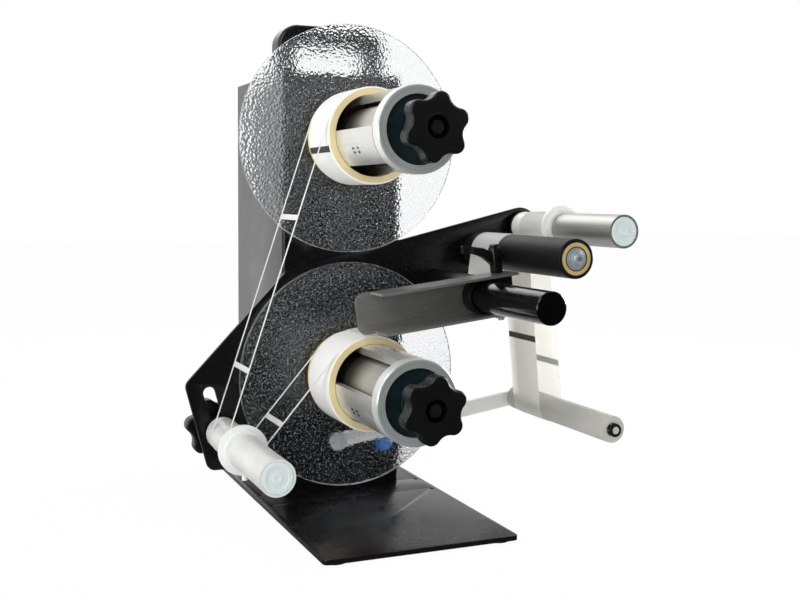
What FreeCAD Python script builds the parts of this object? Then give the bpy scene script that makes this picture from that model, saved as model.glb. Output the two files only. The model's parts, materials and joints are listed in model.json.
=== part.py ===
# Label rewinder with two expanding spindles, four guide rollers, a dancer arm and a swing arm.
# Origin: middle of the column's width, on its front face, at the level the feet stand on.
# +X points right, +Y back and +Z up. Lengths are in millimetres and angles in degrees.
import FreeCAD
import Part
import Sketcher
import math
import os
import re
from FreeCAD import Placement, Rotation, Vector

os.makedirs("parts", exist_ok=True)
doc = FreeCAD.newDocument("LabelRewinder")
sheet = doc.addObject("Spreadsheet::Sheet", "Sizes")

# Driving sizes
SIZES = {
    # base and column
    "baseWidth": 180, "baseFront": 206, "baseBack": 12, "baseThick": 4.5, "baseCorner": 5,
    "footHeight": 2, "footRadius": 10, "footInset": 14,
    "benchHole": 2.2, "benchSpread": 168, "benchPitch": 41, "benchFront": 36,
    "columnWidth": 124, "columnDepth": 170, "columnHead": 65, "sheetThick": 2, "bendRadius": 4,
    "lipWidth": 14, "hubHole": 18, "ventLength": 60, "ventWidth": 4, "ventPitch": 11, "ventDrop": 40,
    "plateScrewInset": 14, "plateScrewRise": 50, "columnScrewInset": 9, "columnScrewDepth": 22,
    "coverHead": 3.5, "coverHeadThick": 2.4, "screwHead": 5.5, "screwHeadThick": 3,
    # carry handle
    "handleWidth": 113, "handleRise": 51, "handleDepth": 28, "handleSetback": 31,
    "gripWidth": 78, "gripRise": 31, "handleRound": 21, "gripRound": 8,
    # wing plate
    "plateThick": 4, "plateBottom": 37.5, "leftFoot": 137.5, "leftShoulder": 160, "shoulderHeight": 122,
    "crownSide": 59.6, "crownHeight": 228.5, "tipRadius": 20, "cornerRadius": 9, "underSlope": 37,
    "slotWidth": 11.5, "slotRise": 40, "slotDrop": 7, "slotTilt": 16.2,
    "armHoldRadius": 24,
    # spindles
    "lowerHubHeight": 126, "hubSpacing": 232, "shaftRadius": 7.5, "shaftTail": 78, "rodRadius": 5,
    "discGap": 18, "discThick": 4, "discRadius": 111, "backFlangeRadius": 30, "backFlangeThick": 5,
    "spigotRadius": 12, "spigotLength": 12, "frontFlangeRadius": 37, "frontFlangeThick": 6,
    "drumRadius": 26, "drumWall": 4, "drumLength": 137, "drumFloor": 14,
    "coreBore": 76.2, "coreWall": 5.6, "coreLength": 64, "labelLayer": 1.6,
    "segmentLength": 147, "segmentWall": 3.2, "segmentSpan": 54, "segmentFlange": 4.6, "segmentTurn": 82.5,
    "segmentEdge": 5, "segmentLap": 0.5,
    "ringThick": 12, "ringGap": 1.5, "ringRecess": 4, "ringWall": 7.6, "wedgeDepth": 9, "wedgeTaper": 5.6,
    "ringSpigot": 9, "ringChamfer": 1,
    "knobReach": 38, "knobThick": 16, "knobRadius": 29.5, "knobLobe": 8, "knobWaist": 23.5,
    "knobRound": 2.5, "knobBoss": 13, "knobTurn": 21, "knobRecess": 10, "knobRecessDepth": 12,
    "rodNutWide": 6.5, "rodNutThick": 5, "rodProud": 1.5, "rodShort": 1,
    # label web
    "webBack": 30, "webWidth": 54, "webThick": 0.3, "webClear": 0.3, "webTail": 40,
    "stripWidth": 3, "barWidth": 5, "upperBar": 0.22, "middleBar": 0.72, "lowerBar": 0.3,
    # left roller on its slot carriage
    "leftRollerX": -125.3, "leftRollerHeight": 74.6, "guideRadius": 15.5, "guideWall": 2,
    "guideEnd": 194, "axleRadius": 6, "axleShort": 4, "spacerRadius": 13, "spacerThick": 5, "plugDepth": 10,
    "plugStep": 0.8, "plugFace": 1.9,
    "collarRadius": 22.5, "collarThick": 4, "collarSleeve": 6, "collarWall": 3,
    "thumbRadius": 2.5, "thumbRise": 3.5, "thumbGap": 1.2,
    "rearKnobThick": 15, "rearKnobGap": 15, "rearKnobTurn": 50, "rearStud": 4, "rearRecess": 3,
    # top roller
    "topRollerX": 200.8, "topRollerHeight": 271, "topRollerEnd": 196,
    "topSpacerRadius": 17, "topSpacerThick": 8,
    # rubber roller
    "rubberAcross": 43.5, "rubberRise": 39.7, "rubberChamfer": 1, "rubberRadius": 18,
    "rubberWall": 3.4, "rubberEnd": 201, "bushDepth": 9,
    "capWasher": 8.5, "capWasherThick": 1.6, "capHead": 5, "capHeadThick": 5,
    # dancer arm
    "dancerPivotX": -10, "dancerPivotHeight": 58.5, "dancerReach": 206, "dancerTilt": 8.6,
    "dancerWide": 15, "dancerThick": 5, "dancerBack": 9, "dancerRadius": 12.5, "dancerEnd": 193,
    "dancerAxle": 4, "dancerStud": 5.5, "dancerNut": 6.3, "dancerNutThick": 3.2, "pivotRadius": 5,
    "bumperRadius": 7, "bumperAlong": 50, "bumperWasher": 2, "bumperWasherThick": 1.5, "bumperRim": 1.2,
    "pivotTail": 30, "pivotHead": 9, "pivotHeadThick": 2, "bushRadius": 8, "sensorCap": 4,
    "bushShoulder": 11, "sensorRadius": 15, "sensorFlange": 20, "sensorFlangeThick": 3,
    # swing arm on its post
    "postX": 104, "postRadius": 14.8, "postEnd": 233, "postChamfer": 0.8, "idlerRadius": 19,
    "armTilt": 7, "armGap": 10.93, "armLeft": 125, "armRight": 32, "armTall": 39, "armWall": 2.5,
    "armBack": 92, "armDepth": 30, "armShoulder": 16, "armCorner": 9,
    "holdThick": 17, "holdSlit": 1.6, "studAlong": 18.5, "studRadius": 3, "studDepth": 11,
    "leverTall": 25, "leverHub": 6,
    "leverReach": 33, "leverWide": 8, "leverNut": 6.2, "leverNutThick": 4.5, "stopThick": 5, "stopRadius": 17,
    # drive and electrics inside the column
    "blockWidth": 62, "blockDepth": 34, "bearingRadius": 17.5, "bearingThick": 11,
    "pulleyRadius": 25, "motorPulleyRadius": 12.5, "beltWide": 12, "beltThick": 2.4, "pulleyFlange": 2,
    "upperBeltY": 46, "lowerBeltY": 66, "pulleyRim": 3.5,
    "bracketY": 88, "bracketThick": 4, "bracketMargin": 6, "bracketFoot": 40,
    "motorRadius": 30, "motorLength": 58, "motorShaft": 4,
    "boardWide": 90, "boardTall": 110, "boardHeight": 300, "boardGap": 8, "boardThick": 1.6, "boardBack": 20,
    "boardParts": 14, "standoff": 3, "standoffInset": 6,
    "entryWide": 28, "entryTall": 50, "entryDepth": 22, "entryHeight": 60, "bezelThick": 2, "bezelLip": 3,
    "socketWide": 22, "socketTall": 16, "socketDepth": 15, "pinWide": 1.6, "pinTall": 5,
    "rockerWide": 19, "rockerTall": 18, "rockerDepth": 9, "rockerDrop": 3.2, "rockerDish": 24,
    "wellDepth": 11, "rockerPin": 1.5,
    "motorBoss": 12, "motorBore": 12, "bearingLip": 3,
    # clearances: a running fit, and a gap between pieces that pass each other
    "runClear": 0.05, "slideClear": 0.3,
}

# Places worked out from the driving sizes
PLACES = {
    "baseTop": "footHeight + baseThick",
    "columnTop": "baseTop + columnHeight",
    "wallX": "columnWidth / 2",
    "coverY": "columnDepth",
    "upperHubHeight": "lowerHubHeight + hubSpacing",
    "columnHeight": "upperHubHeight + columnHead - baseTop",
    "discFront": "discGap + discThick",
    "flangeFront": "discFront + frontFlangeThick",
    "coreRadius": "coreBore / 2",
    "coreOuter": "coreRadius + coreWall",
    "rollRadius": "coreOuter + labelLayer",
    "segmentOuter": "coreRadius - slideClear",
    "segmentInner": "segmentOuter - segmentWall",
    "segmentFront": "flangeFront + slideClear + segmentLength",
    "ringBack": "segmentFront + ringGap",
    "ringFront": "ringBack + ringThick",
    "ringFloor": "ringFront - ringRecess",
    "wedgeTop": "segmentInner - 0.4",
    "drumFront": "flangeFront + drumLength",
    "knobFront": "ringFront + knobReach",
    "knobBack": "knobFront - knobThick",
    "knobFloor": "knobFront - knobRecessDepth",
    "rodTip": "knobFront - rodShort",
    "lobeAt": "knobRadius - knobLobe",
    "lobeStep": "knobWaist - knobLobe",
    "scallopAt": "(lobeAt ^ 2 - lobeStep ^ 2) / (2 * (lobeAt * cos(30) - lobeStep))",
    "scallopRadius": "scallopAt - knobWaist",
    "lobeLean": "(scallopAt * cos(30) - lobeAt) / (knobLobe + scallopRadius)",
    "knobBody": "sqrt(lobeAt ^ 2 + knobLobe ^ 2 + 2 * lobeAt * knobLobe * lobeLean)",
    "webFront": "webBack + webWidth",
    "armFront": "armBack + armWall",
    "armDrop": "segmentOuter + armGap + armTall / 2",
    "postHeight": "lowerHubHeight + armDrop / cos(armTilt) + postX * tan(armTilt)",
    "rubberX": "postX + rubberAcross",
    "rubberHeight": "postHeight + rubberRise",
    "axleEnd": "guideEnd - axleShort",
    "capBack": "rubberEnd + slideClear",
    "pulleySide": "beltWide / 2 + slideClear",
    "pulleyEnd": "pulleySide + pulleyFlange",
    "coverFace": "coverY + sheetThick",
    "bezelFace": "coverFace + bezelThick",
    "rockerMiddle": "entryHeight + entryTall - rockerTall / 2 - rockerDrop",
    "tubeBack": "plateThick + spacerThick + slideClear",
    "rubberBore": "rubberRadius - rubberWall",
    "dancerFront": "dancerBack + dancerThick",
    "motorHeight": "lowerHubHeight + hubSpacing / 2",
    "idlerBack": "plateThick + slideClear",
    "idlerFront": "armBack - stopThick - 2 * slideClear",
    "topBack": "plateThick + topSpacerThick + slideClear",
    "rubberBack": "plateThick + spacerThick + slideClear",
    "dancerX": "dancerPivotX + dancerReach * cos(dancerTilt)",
    "dancerHeight": "dancerPivotHeight + dancerReach * sin(dancerTilt)",
    "bumperDrop": "dancerWide / 2 + bumperRadius + slideClear",
}

for row, (alias, number) in enumerate(SIZES.items(), start=1):
    sheet.set(f"A{row}", alias)
    sheet.set(f"B{row}", str(number))
    sheet.setAlias(f"B{row}", alias)
doc.recompute()


def bound(text):
    """Turn a formula of size and place names into an expression on the sheet."""
    def swap(match):
        word = match.group()
        if word in PLACES:
            return "(" + bound(PLACES[word]) + ")"
        return "Sizes." + word if word in SIZES else word
    return re.sub(r"[A-Za-z]\w*", swap, str(text))


def value(text):
    """The number that a formula gives."""
    return float(sheet.evalExpression(bound(text)))


def bind(item, **formulas):
    for name, text in formulas.items():
        item.setExpression(name.replace("_", "."), bound(text))
    return item


def move(item, x=0, y=0, z=0):
    """Place a piece by formulas, leaving its turn as it is."""
    return bind(item, Placement_Base_x=x, Placement_Base_y=y, Placement_Base_z=z)


serial = 0


def new(kind, label):
    global serial
    serial += 1
    item = doc.addObject(kind, f"{label}_{serial}")
    item.Label = label
    return item


def box(label, wide, deep, tall, x, y, z):
    """A block by its three sizes and its low corner."""
    return move(bind(new("Part::Box", label), Length=wide, Width=deep, Height=tall), x, y, z)


def rod(label, radius, length, x, y, z, turn=Rotation(Vector(1, 0, 0), 90)):
    """A cylinder; unless turned otherwise it runs from its place towards the front."""
    item = bind(new("Part::Cylinder", label), Radius=radius, Height=length)
    item.Placement = Placement(Vector(), turn)
    return move(item, x, y, z)


def hexagon(label, radius, length, x, y, z, turn=Rotation(Vector(1, 0, 0), 90)):
    """A hex nut or head, by its half width over the corners."""
    item = bind(new("Part::Prism", label), Circumradius=radius, Height=length)
    item.Polygon = 6
    item.Placement = Placement(Vector(), turn)
    return move(item, x, y, z)


def cut(label, base, *tools):
    item = new("Part::Cut", label)
    item.Base = base
    item.Tool = tools[0] if len(tools) == 1 else fuse(label + "Tools", *tools)
    return item


def fuse(label, *pieces):
    item = new("Part::MultiFuse", label)
    item.Shapes = list(pieces)
    return item


def group(label, *pieces):
    """Separate solids kept in one node."""
    item = new("Part::Compound", label)
    item.Links = list(pieces)
    return item


def outline(body, plane, points):
    """A closed sketch of straight sides, each corner set by a pair of formulas."""
    sketch = body.newObject("Sketcher::SketchObject", body.Label + "Sketch")
    planes = [f for f in body.Origin.OriginFeatures if f.Role == plane]
    sketch.AttachmentSupport = [(planes[0], "")]
    sketch.MapMode = "FlatFace"
    spots = [Vector(value(a), value(b), 0) for a, b in points]
    count = len(spots)
    for i in range(count):
        sketch.addGeometry(Part.LineSegment(spots[i], spots[(i + 1) % count]), False)
    for i in range(count):
        sketch.addConstraint(Sketcher.Constraint("Coincident", i, 2, (i + 1) % count, 1))
    for i, pair in enumerate(points):
        for axis, text in zip(("DistanceX", "DistanceY"), pair):
            datum = spots[i].x if axis == "DistanceX" else spots[i].y
            index = sketch.addConstraint(Sketcher.Constraint(axis, -1, 1, i, 1, datum))
            sketch.setExpression(f"Constraints[{index}]", bound(text))
    return sketch


def turned(label, points, x=0, z=0):
    """A lathe-turned piece on an axis along Y; points are (radius, distance in front of the column)."""
    body = new("PartDesign::Body", label)
    sketch = outline(body, "XY_Plane", [(r, f"-({y})") for r, y in points])
    spin = body.newObject("PartDesign::Revolution", label + "Spin")
    spin.Profile = sketch
    spin.ReferenceAxis = (sketch, ["V_Axis"])
    spin.Angle = 360
    return move(body, x, 0, z)


def plate(label, points, thick, y, x=0, z=0):
    """A flat piece standing in the XZ plane: its outline is padded towards the front from y."""
    body = new("PartDesign::Body", label)
    sketch = outline(body, "XZ_Plane", points)
    pad = body.newObject("PartDesign::Pad", label + "Pad")
    pad.Profile = sketch
    bind(pad, Length=thick)
    doc.recompute()
    return move(body, x, y, z)


def round_edges(body, direction, radius, corners=None):
    """Fillet the straight edges along a direction, all of them or those nearest the corners given."""
    shape = body.Tip.Shape
    names = []
    middles = {}
    for index, edge in enumerate(shape.Edges, start=1):
        if edge.Curve.TypeId != "Part::GeomLine":
            continue
        way = (edge.Vertexes[-1].Point - edge.Vertexes[0].Point).normalize()
        if abs(abs(way.dot(direction)) - 1) < 1e-6:
            names.append(f"Edge{index}")
            middles[f"Edge{index}"] = (edge.BoundBox.Center)
    if corners is not None:
        names = [min(names, key=lambda n: math.hypot(middles[n].x - value(a), middles[n].z - value(b)))
                 for a, b in corners]
    base = body.Tip
    fillet = body.newObject("PartDesign::Fillet", body.Label + "Fillet")
    fillet.Base = (base, names)
    bind(fillet, Radius=radius)
    body.Tip = fillet
    doc.recompute()
    return fillet


ALONG_Y = Vector(0, 1, 0)
ALONG_Z = Vector(0, 0, 1)
UPRIGHT = Rotation()
ACROSS = Rotation(Vector(0, 1, 0), 90)
nodes = {}


def keep(name, item):
    """Name a finished piece; its label becomes its file's name."""
    item.Label = name
    nodes[name] = item
    return item


# Base plate on rubber feet, one in each corner and one under the column, with four bench holes beside it
def make_base():
    slab = new("PartDesign::Body", "baseSlab")
    half = "baseWidth / 2"
    back = "columnDepth + baseBack"
    sketch = outline(slab, "XY_Plane", [(f"-{half}", "-baseFront"), (half, "-baseFront"),
                                        (half, back), (f"-{half}", back)])
    pad = slab.newObject("PartDesign::Pad", "baseSlabPad")
    pad.Profile = sketch
    bind(pad, Length="baseThick")
    doc.recompute()
    round_edges(slab, ALONG_Z, "baseCorner")
    move(slab, 0, 0, "footHeight")
    holes = []
    for side in ("-1", "1"):
        for step in ("0", "1"):
            holes.append(rod("benchHole", "benchHole", "baseThick + 2", f"{side} * benchSpread / 2",
                             f"-benchFront + {step} * benchPitch", "footHeight - 1", UPRIGHT))
    keep("base_plate", cut("basePlate", slab, *holes))
    feet = [rod("foot", "footRadius", "footHeight", "0", "0", "0", UPRIGHT)]
    for side in ("-1", "1"):
        for y in ("-baseFront + footInset", "columnDepth + baseBack - footInset"):
            feet.append(rod("foot", "footRadius", "footHeight", f"{side} * (baseWidth / 2 - footInset)",
                            y, "0", UPRIGHT))
    keep("rubber_feet", group("feet", *feet))


# Column: bent sheet shell open at the back and below, with a lip for the rear cover
def make_column():
    outer = new("PartDesign::Body", "columnOuter")
    half = "columnWidth / 2"
    sketch = outline(outer, "XY_Plane", [(f"-{half}", "0"), (half, "0"), (half, "columnDepth"),
                                         (f"-{half}", "columnDepth")])
    pad = outer.newObject("PartDesign::Pad", "columnPad")
    pad.Profile = sketch
    bind(pad, Length="columnHeight")
    doc.recompute()
    shape = outer.Tip.Shape
    names = [f"Edge{i}" for i, e in enumerate(shape.Edges, start=1) if abs(e.BoundBox.YMax) < 1e-6]
    base = outer.Tip
    fillet = outer.newObject("PartDesign::Fillet", "columnBends")
    fillet.Base = (base, [n for n in names if shape.getElement(n).BoundBox.ZMax > 1e-6])
    bind(fillet, Radius="bendRadius")
    outer.Tip = fillet
    doc.recompute()
    shell = outer.newObject("PartDesign::Thickness", "columnShell")
    faces = [f"Face{i}" for i, f in enumerate(fillet.Shape.Faces, start=1)
             if f.BoundBox.YMin > value("columnDepth") - 1e-6 or f.BoundBox.ZMax < 1e-6]
    shell.Base = (fillet, faces)
    bind(shell, Value="sheetThick")
    shell.Reversed = True
    outer.Tip = shell
    move(outer, 0, 0, "baseTop")
    lips = [box("sideLip", "lipWidth", "sheetThick", "columnHeight - 2 * sheetThick",
                f"{side}", "columnDepth - sheetThick", "baseTop + sheetThick / 2")
            for side in ("-wallX + sheetThick / 2", "wallX - sheetThick / 2 - lipWidth")]
    floor_lips = [box("floorLip", "lipWidth", "columnDepth - 4 * sheetThick", "sheetThick",
                      side, "2 * sheetThick", "baseTop")
                  for side in ("-wallX + sheetThick / 2", "wallX - sheetThick / 2 - lipWidth")]
    body = fuse("columnBody", outer, *lips, *floor_lips)
    tools = [rod("hubHole", "hubHole", "sheetThick + 2", "0", "sheetThick + 1", hub)
             for hub in ("lowerHubHeight", "upperHubHeight")]
    tools.append(rod("pivotHole", "bushRadius + runClear", "sheetThick + 2", "dancerPivotX", "sheetThick + 1",
                     "dancerPivotHeight"))
    keep("column_housing", cut("columnHousing", body, *tools))


def make_cover():
    panel = box("coverPanel", "columnWidth", "sheetThick", "columnHeight", "-wallX", "coverY", "baseTop")
    vents = [box("vent", "ventLength", "sheetThick + 2", "ventWidth", "-ventLength / 2", "coverY - 1",
                 f"upperHubHeight - ventDrop + {n} * ventPitch") for n in range(6)]
    vents.append(box("entryHole", "entryWide", "sheetThick + 2", "entryTall", "-entryWide / 2",
                     "coverY - 1", "entryHeight"))
    keep("rear_cover", cut("rearCover", panel, *vents))
    heads = []
    for side in (-1, 1):
        for n in range(3):
            heads.append(rod("coverScrew", "coverHead", "coverHeadThick", f"{side} * (wallX - lipWidth / 2)",
                             "coverFace + coverHeadThick",
                             f"baseTop + lipWidth + {n} * (columnHeight - 2 * lipWidth) / 2"))
    keep("cover_screws", group("coverScrews", *heads))


def make_handle():
    half = "handleWidth / 2"
    body = plate("handleBody", [(f"-{half}", "0"), (half, "0"), (half, "handleRise"),
                                (f"-{half}", "handleRise")], "handleDepth", "handleSetback + handleDepth",
                 0, "columnTop")
    round_edges(body, ALONG_Y, "handleRound", [(f"-{half}", "handleRise"), (half, "handleRise")])
    grip = plate("gripHole", [("-gripWidth / 2", "-1"), ("gripWidth / 2", "-1"),
                              ("gripWidth / 2", "gripRise"), ("-gripWidth / 2", "gripRise")],
                 "handleDepth + 4", "handleSetback + handleDepth + 2", 0, "columnTop")
    round_edges(grip, ALONG_Y, "gripRound", [("-gripWidth / 2", "gripRise"), ("gripWidth / 2", "gripRise")])
    keep("carry_handle", cut("carryHandle", body, grip))


# Wing plate: one steel plate across the column that carries every roller
def make_wing():
    tip_x, tip_z = value("topRollerX"), value("topRollerHeight")
    crown = Vector(-value("crownSide"), value("crownHeight"), 0)
    slope = math.atan2(tip_z - crown.y, tip_x - crown.x)
    lift = math.asin(value("tipRadius") / math.hypot(tip_x - crown.x, tip_z - crown.y))
    way = math.degrees(slope + lift)
    side = f"topRollerX - tipRadius * sin({way})"
    points = [("-leftFoot", "plateBottom"), ("wallX", "plateBottom"), ("wallX", "postHeight - armHoldRadius"),
              ("postX + armHoldRadius * sin(underSlope)", "postHeight - armHoldRadius"),
              ("topRollerX + tipRadius * sin(underSlope)", "topRollerHeight - tipRadius * cos(underSlope)"),
              (side, f"topRollerHeight + tipRadius * cos({way})"),
              ("-crownSide", "crownHeight"), ("-leftShoulder", "shoulderHeight")]
    body = plate("wingBody", points, "plateThick", "0")
    round_edges(body, ALONG_Y, "cornerRadius", [points[0], points[7]])
    tip = rod("wingTip", "tipRadius", "plateThick", "topRollerX", "0", "topRollerHeight")
    whole = fuse("wingWhole", body, tip)
    turn = Rotation(Vector(0, 1, 0), -value("slotTilt"))
    slot_cutter = new("Part::Box", "slotMiddle")
    bind(slot_cutter, Length="slotWidth", Width="plateThick + 2", Height="slotRise + slotDrop")
    low_x = "leftRollerX + slotDrop * sin(slotTilt) - slotWidth / 2 * cos(slotTilt)"
    low_z = "leftRollerHeight - slotDrop * cos(slotTilt) - slotWidth / 2 * sin(slotTilt)"
    slot_cutter.Placement = Placement(Vector(), turn)
    move(slot_cutter, low_x, "-plateThick - 1", low_z)
    ends = [rod("slotEnd", "slotWidth / 2", "plateThick + 2", f"leftRollerX + {d} * sin(slotTilt)", "1",
                f"leftRollerHeight - {d} * cos(slotTilt)") for d in ("slotDrop", "(-slotRise)")]
    holes = [rod("hubHole", "shaftRadius + 2", "plateThick + 2", "0", "1", "lowerHubHeight"),
             rod("pivotHole", "bushRadius + runClear", "plateThick + 2", "dancerPivotX", "1",
                 "dancerPivotHeight")]
    keep("wing_plate", cut("wingPlate", whole, slot_cutter, *ends, *holes))


# Screw heads behind the wing plate, in front of the column and under the base
def make_screws():
    heads = []
    for x, z in (("topRollerX", "topRollerHeight"), ("rubberX", "rubberHeight"), ("postX", "postHeight")):
        heads.append(rod("axleScrew", "screwHead", "screwHeadThick", x, "screwHeadThick", z))
    for x in ("-wallX + plateScrewInset", "wallX - plateScrewInset"):
        for z in ("plateBottom + plateScrewRise", "crownHeight - plateScrewInset"):
            heads.append(rod("plateScrew", "screwHead", "screwHeadThick", x, "-plateThick", z))
    for x in ("-wallX + columnScrewInset", "wallX - columnScrewInset"):
        for y in ("columnScrewDepth", "columnDepth - columnScrewDepth"):
            heads.append(rod("columnScrew", "screwHead", "screwHeadThick", x, y, "baseTop + sheetThick",
                             UPRIGHT))
    keep("frame_screws", group("frameScrews", *heads))


# Turned drive parts: each spindle is a shaft with its belt pulley, disc, drum, core and roll
def pulley_profile(radius, belt):
    lip = f"({radius} + pulleyRim)"
    return [(lip, f"-({belt}) - pulleyEnd"), (lip, f"-({belt}) - pulleySide"),
            (radius, f"-({belt}) - pulleySide"), (radius, f"-({belt}) + pulleySide"),
            (lip, f"-({belt}) + pulleySide"), (lip, f"-({belt}) + pulleyEnd")]


def make_spindle(level, hub, belt):
    shaft = turned("shaft", [
        ("0", "-shaftTail"), ("shaftRadius", "-shaftTail"), ("shaftRadius", f"-({belt}) - pulleyEnd"),
        *pulley_profile("pulleyRadius", belt), ("shaftRadius", f"-({belt}) + pulleyEnd"),
        ("shaftRadius", "discGap - backFlangeThick"), ("backFlangeRadius", "discGap - backFlangeThick"),
        ("backFlangeRadius", "discGap"), ("spigotRadius", "discGap"),
        ("spigotRadius", "flangeFront + spigotLength"), ("rodRadius", "flangeFront + spigotLength"),
        ("rodRadius", "rodTip"), ("0", "rodTip")], 0, hub)
    nut = hexagon("rodNut", "rodNutWide", "rodNutThick", "0", "-(rodTip - rodProud - rodNutThick)", hub)
    keep(f"{level}_spindle", fuse("spindle", shaft, nut))
    keep(f"{level}_disc", turned("disc", [
        ("spigotRadius", "discGap"), ("discRadius", "discGap"), ("discRadius", "discFront"),
        ("spigotRadius", "discFront")], 0, hub))
    keep(f"{level}_drum", turned("drum", [
        ("spigotRadius", "discFront"), ("frontFlangeRadius", "discFront"),
        ("frontFlangeRadius", "flangeFront"), ("drumRadius", "flangeFront"), ("drumRadius", "drumFront"),
        ("drumRadius - drumWall", "drumFront"), ("drumRadius - drumWall", "flangeFront + drumFloor"),
        ("spigotRadius", "flangeFront + drumFloor")], 0, hub))
    keep(f"{level}_core", turned("core", [
        ("coreRadius", "discFront"), ("coreOuter", "discFront"), ("coreOuter", "discFront + coreLength"),
        ("coreRadius", "discFront + coreLength")], 0, hub))
    keep(f"{level}_roll", turned("roll", [
        ("coreOuter", "webBack"), ("rollRadius", "webBack"), ("rollRadius", "webFront"),
        ("coreOuter", "webFront")], 0, hub))


# Expanding mandrel: three curved segments pushed out by the wedge behind the front ring
def sector(label, radius, span, start, length, hub, begin):
    turn = Rotation(Vector(0, -1, 0), start) * Rotation(Vector(1, 0, 0), 90)
    item = rod(label, radius, length, "0", f"-({begin})", hub, turn)
    return bind(item, Angle=span)


segment_count = 3


def make_segments(level, hub):
    back = "flangeFront + slideClear"
    flange_length = f"(ringBack - wedgeDepth - 1 - {back})"
    for index in range(segment_count):
        start = value("segmentTurn - segmentSpan / 2") + 360 / segment_count * index
        wall = sector("segmentWall", "segmentOuter", "segmentSpan", start, "segmentLength", hub, back)
        hollow = rod("segmentHollow", "segmentInner", "segmentLength + 2", "0", f"-({back}) + 1", hub)
        sides = [sector("segmentSide", "segmentInner + segmentLap", "segmentEdge", start + shift,
                        flange_length, hub, back)
                 for shift in (0, value("segmentSpan - segmentEdge"))]
        core = rod("segmentCore", "segmentInner - segmentFlange", "segmentLength + 2", "0",
                   f"-({back}) + 1", hub)
        curved = cut("segmentCurved", wall, hollow)
        flanges = cut("segmentFlanges", fuse("segmentSides", *sides), core)
        keep(f"{level}_segment_{index + 1}", fuse("segment", curved, flanges))


def make_front(level, hub):
    bore = "rodRadius + runClear"
    keep(f"{level}_ring", turned("ring", [
        (bore, "ringBack - wedgeDepth - ringSpigot"),
        ("drumRadius - drumWall - runClear", "ringBack - wedgeDepth - ringSpigot"),
        ("drumRadius - drumWall - runClear", "ringBack - wedgeDepth"),
        ("wedgeTop - wedgeTaper", "ringBack - wedgeDepth"), ("wedgeTop", "ringBack"),
        ("segmentOuter", "ringBack"), ("segmentOuter", "ringFront - ringChamfer"),
        ("segmentOuter - ringChamfer", "ringFront"),
        ("segmentOuter - ringWall", "ringFront"), ("segmentOuter - ringWall", "ringFloor"),
        (bore, "ringFloor")], 0, hub))
    keep(f"{level}_knob", star_knob("knob", "knobTurn", "knobThick", "knobBack", ("ringFloor", "knobFront"),
                                    ("knobFloor", "knobFront + 1"), bore, "0", hub))


def star_knob(label, turn, thick, back, span, recess, bore, x, z):
    """A six-lobed knob on a boss: lobes and scallops are arcs that meet tangent, with rounded rims."""
    lobes = [rod(label + "Body", "knobBody", thick, x, f"-({back})", z)]
    scallops = []
    for index in range(6):
        lobe = f"({turn} + {60 * index})"
        gap = f"({turn} + {60 * index + 30})"
        lobes.append(rod(label + "Lobe", "knobLobe", thick, f"({x}) + lobeAt * cos{lobe}", f"-({back})",
                         f"({z}) + lobeAt * sin{lobe}"))
        scallops.append(rod(label + "Scallop", "scallopRadius", f"{thick} + 2",
                            f"({x}) + scallopAt * cos{gap}", f"-({back}) + 1",
                            f"({z}) + scallopAt * sin{gap}"))
    star = cut(label + "Star", fuse(label + "Lobes", *lobes), *scallops)
    doc.recompute()
    rims = [i for i, edge in enumerate(star.Shape.Edges, start=1) if edge.BoundBox.YLength < 1e-6]
    rounded = new("Part::Fillet", label + "Rims")
    rounded.Base = star
    rounded.Edges = [(i, value("knobRound"), value("knobRound")) for i in rims]
    low, high = span
    boss = rod(label + "Boss", "knobBoss", f"({high}) - ({low})", x, f"-({low})", z)
    floor, mouth = recess
    tools = [rod(label + "Bore", bore, f"({high}) - ({low}) + 2", x, f"-({low}) + 1", z),
             rod(label + "Recess", "knobRecess", f"({mouth}) - ({floor})", x, f"-({floor})", z)]
    return cut(label, fuse(label + "Whole", rounded, boss), *tools)


# Guide rollers: a thin tube with a plug in each end
def guide_roller(name, back, end, x, z):
    inner = "guideRadius - guideWall"
    bore = "axleRadius + runClear"
    step = f"({end}) - plugStep"
    face = f"({end}) - 2 * plugStep"
    keep(name, turned("roller", [
        (bore, back), ("guideRadius", back), ("guideRadius", end), (inner, end), (inner, step),
        ("guideRadius / 2", step), ("guideRadius / 2", face), ("0", face), ("0", f"{face} - plugFace"),
        (bore, f"{face} - plugFace"), (bore, f"({end}) - plugDepth"), (inner, f"({end}) - plugDepth"),
        (inner, f"({back}) + plugDepth"), (bore, f"({back}) + plugDepth")], x, z))


def web_collar(name, x, z):
    """A guide collar in front of the web, held on its tube by a thumb screw."""
    bore = "guideRadius + runClear"
    back = "webFront + slideClear"
    sleeve = "guideRadius + collarWall"
    ring = turned("collarRing", [
        (bore, back), ("collarRadius", back), ("collarRadius", f"{back} + collarThick"),
        (sleeve, f"{back} + collarThick"), (sleeve, f"{back} + collarThick + collarSleeve"),
        (bore, f"{back} + collarThick + collarSleeve")], x, z)
    screw = rod("thumbScrew", "thumbRadius", "collarRadius + thumbRise - guideRadius - thumbGap", x,
                f"-({back} + collarThick + collarSleeve / 2)", f"({z}) - collarRadius - thumbRise", UPRIGHT)
    keep(name, fuse("collar", ring, screw))


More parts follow.
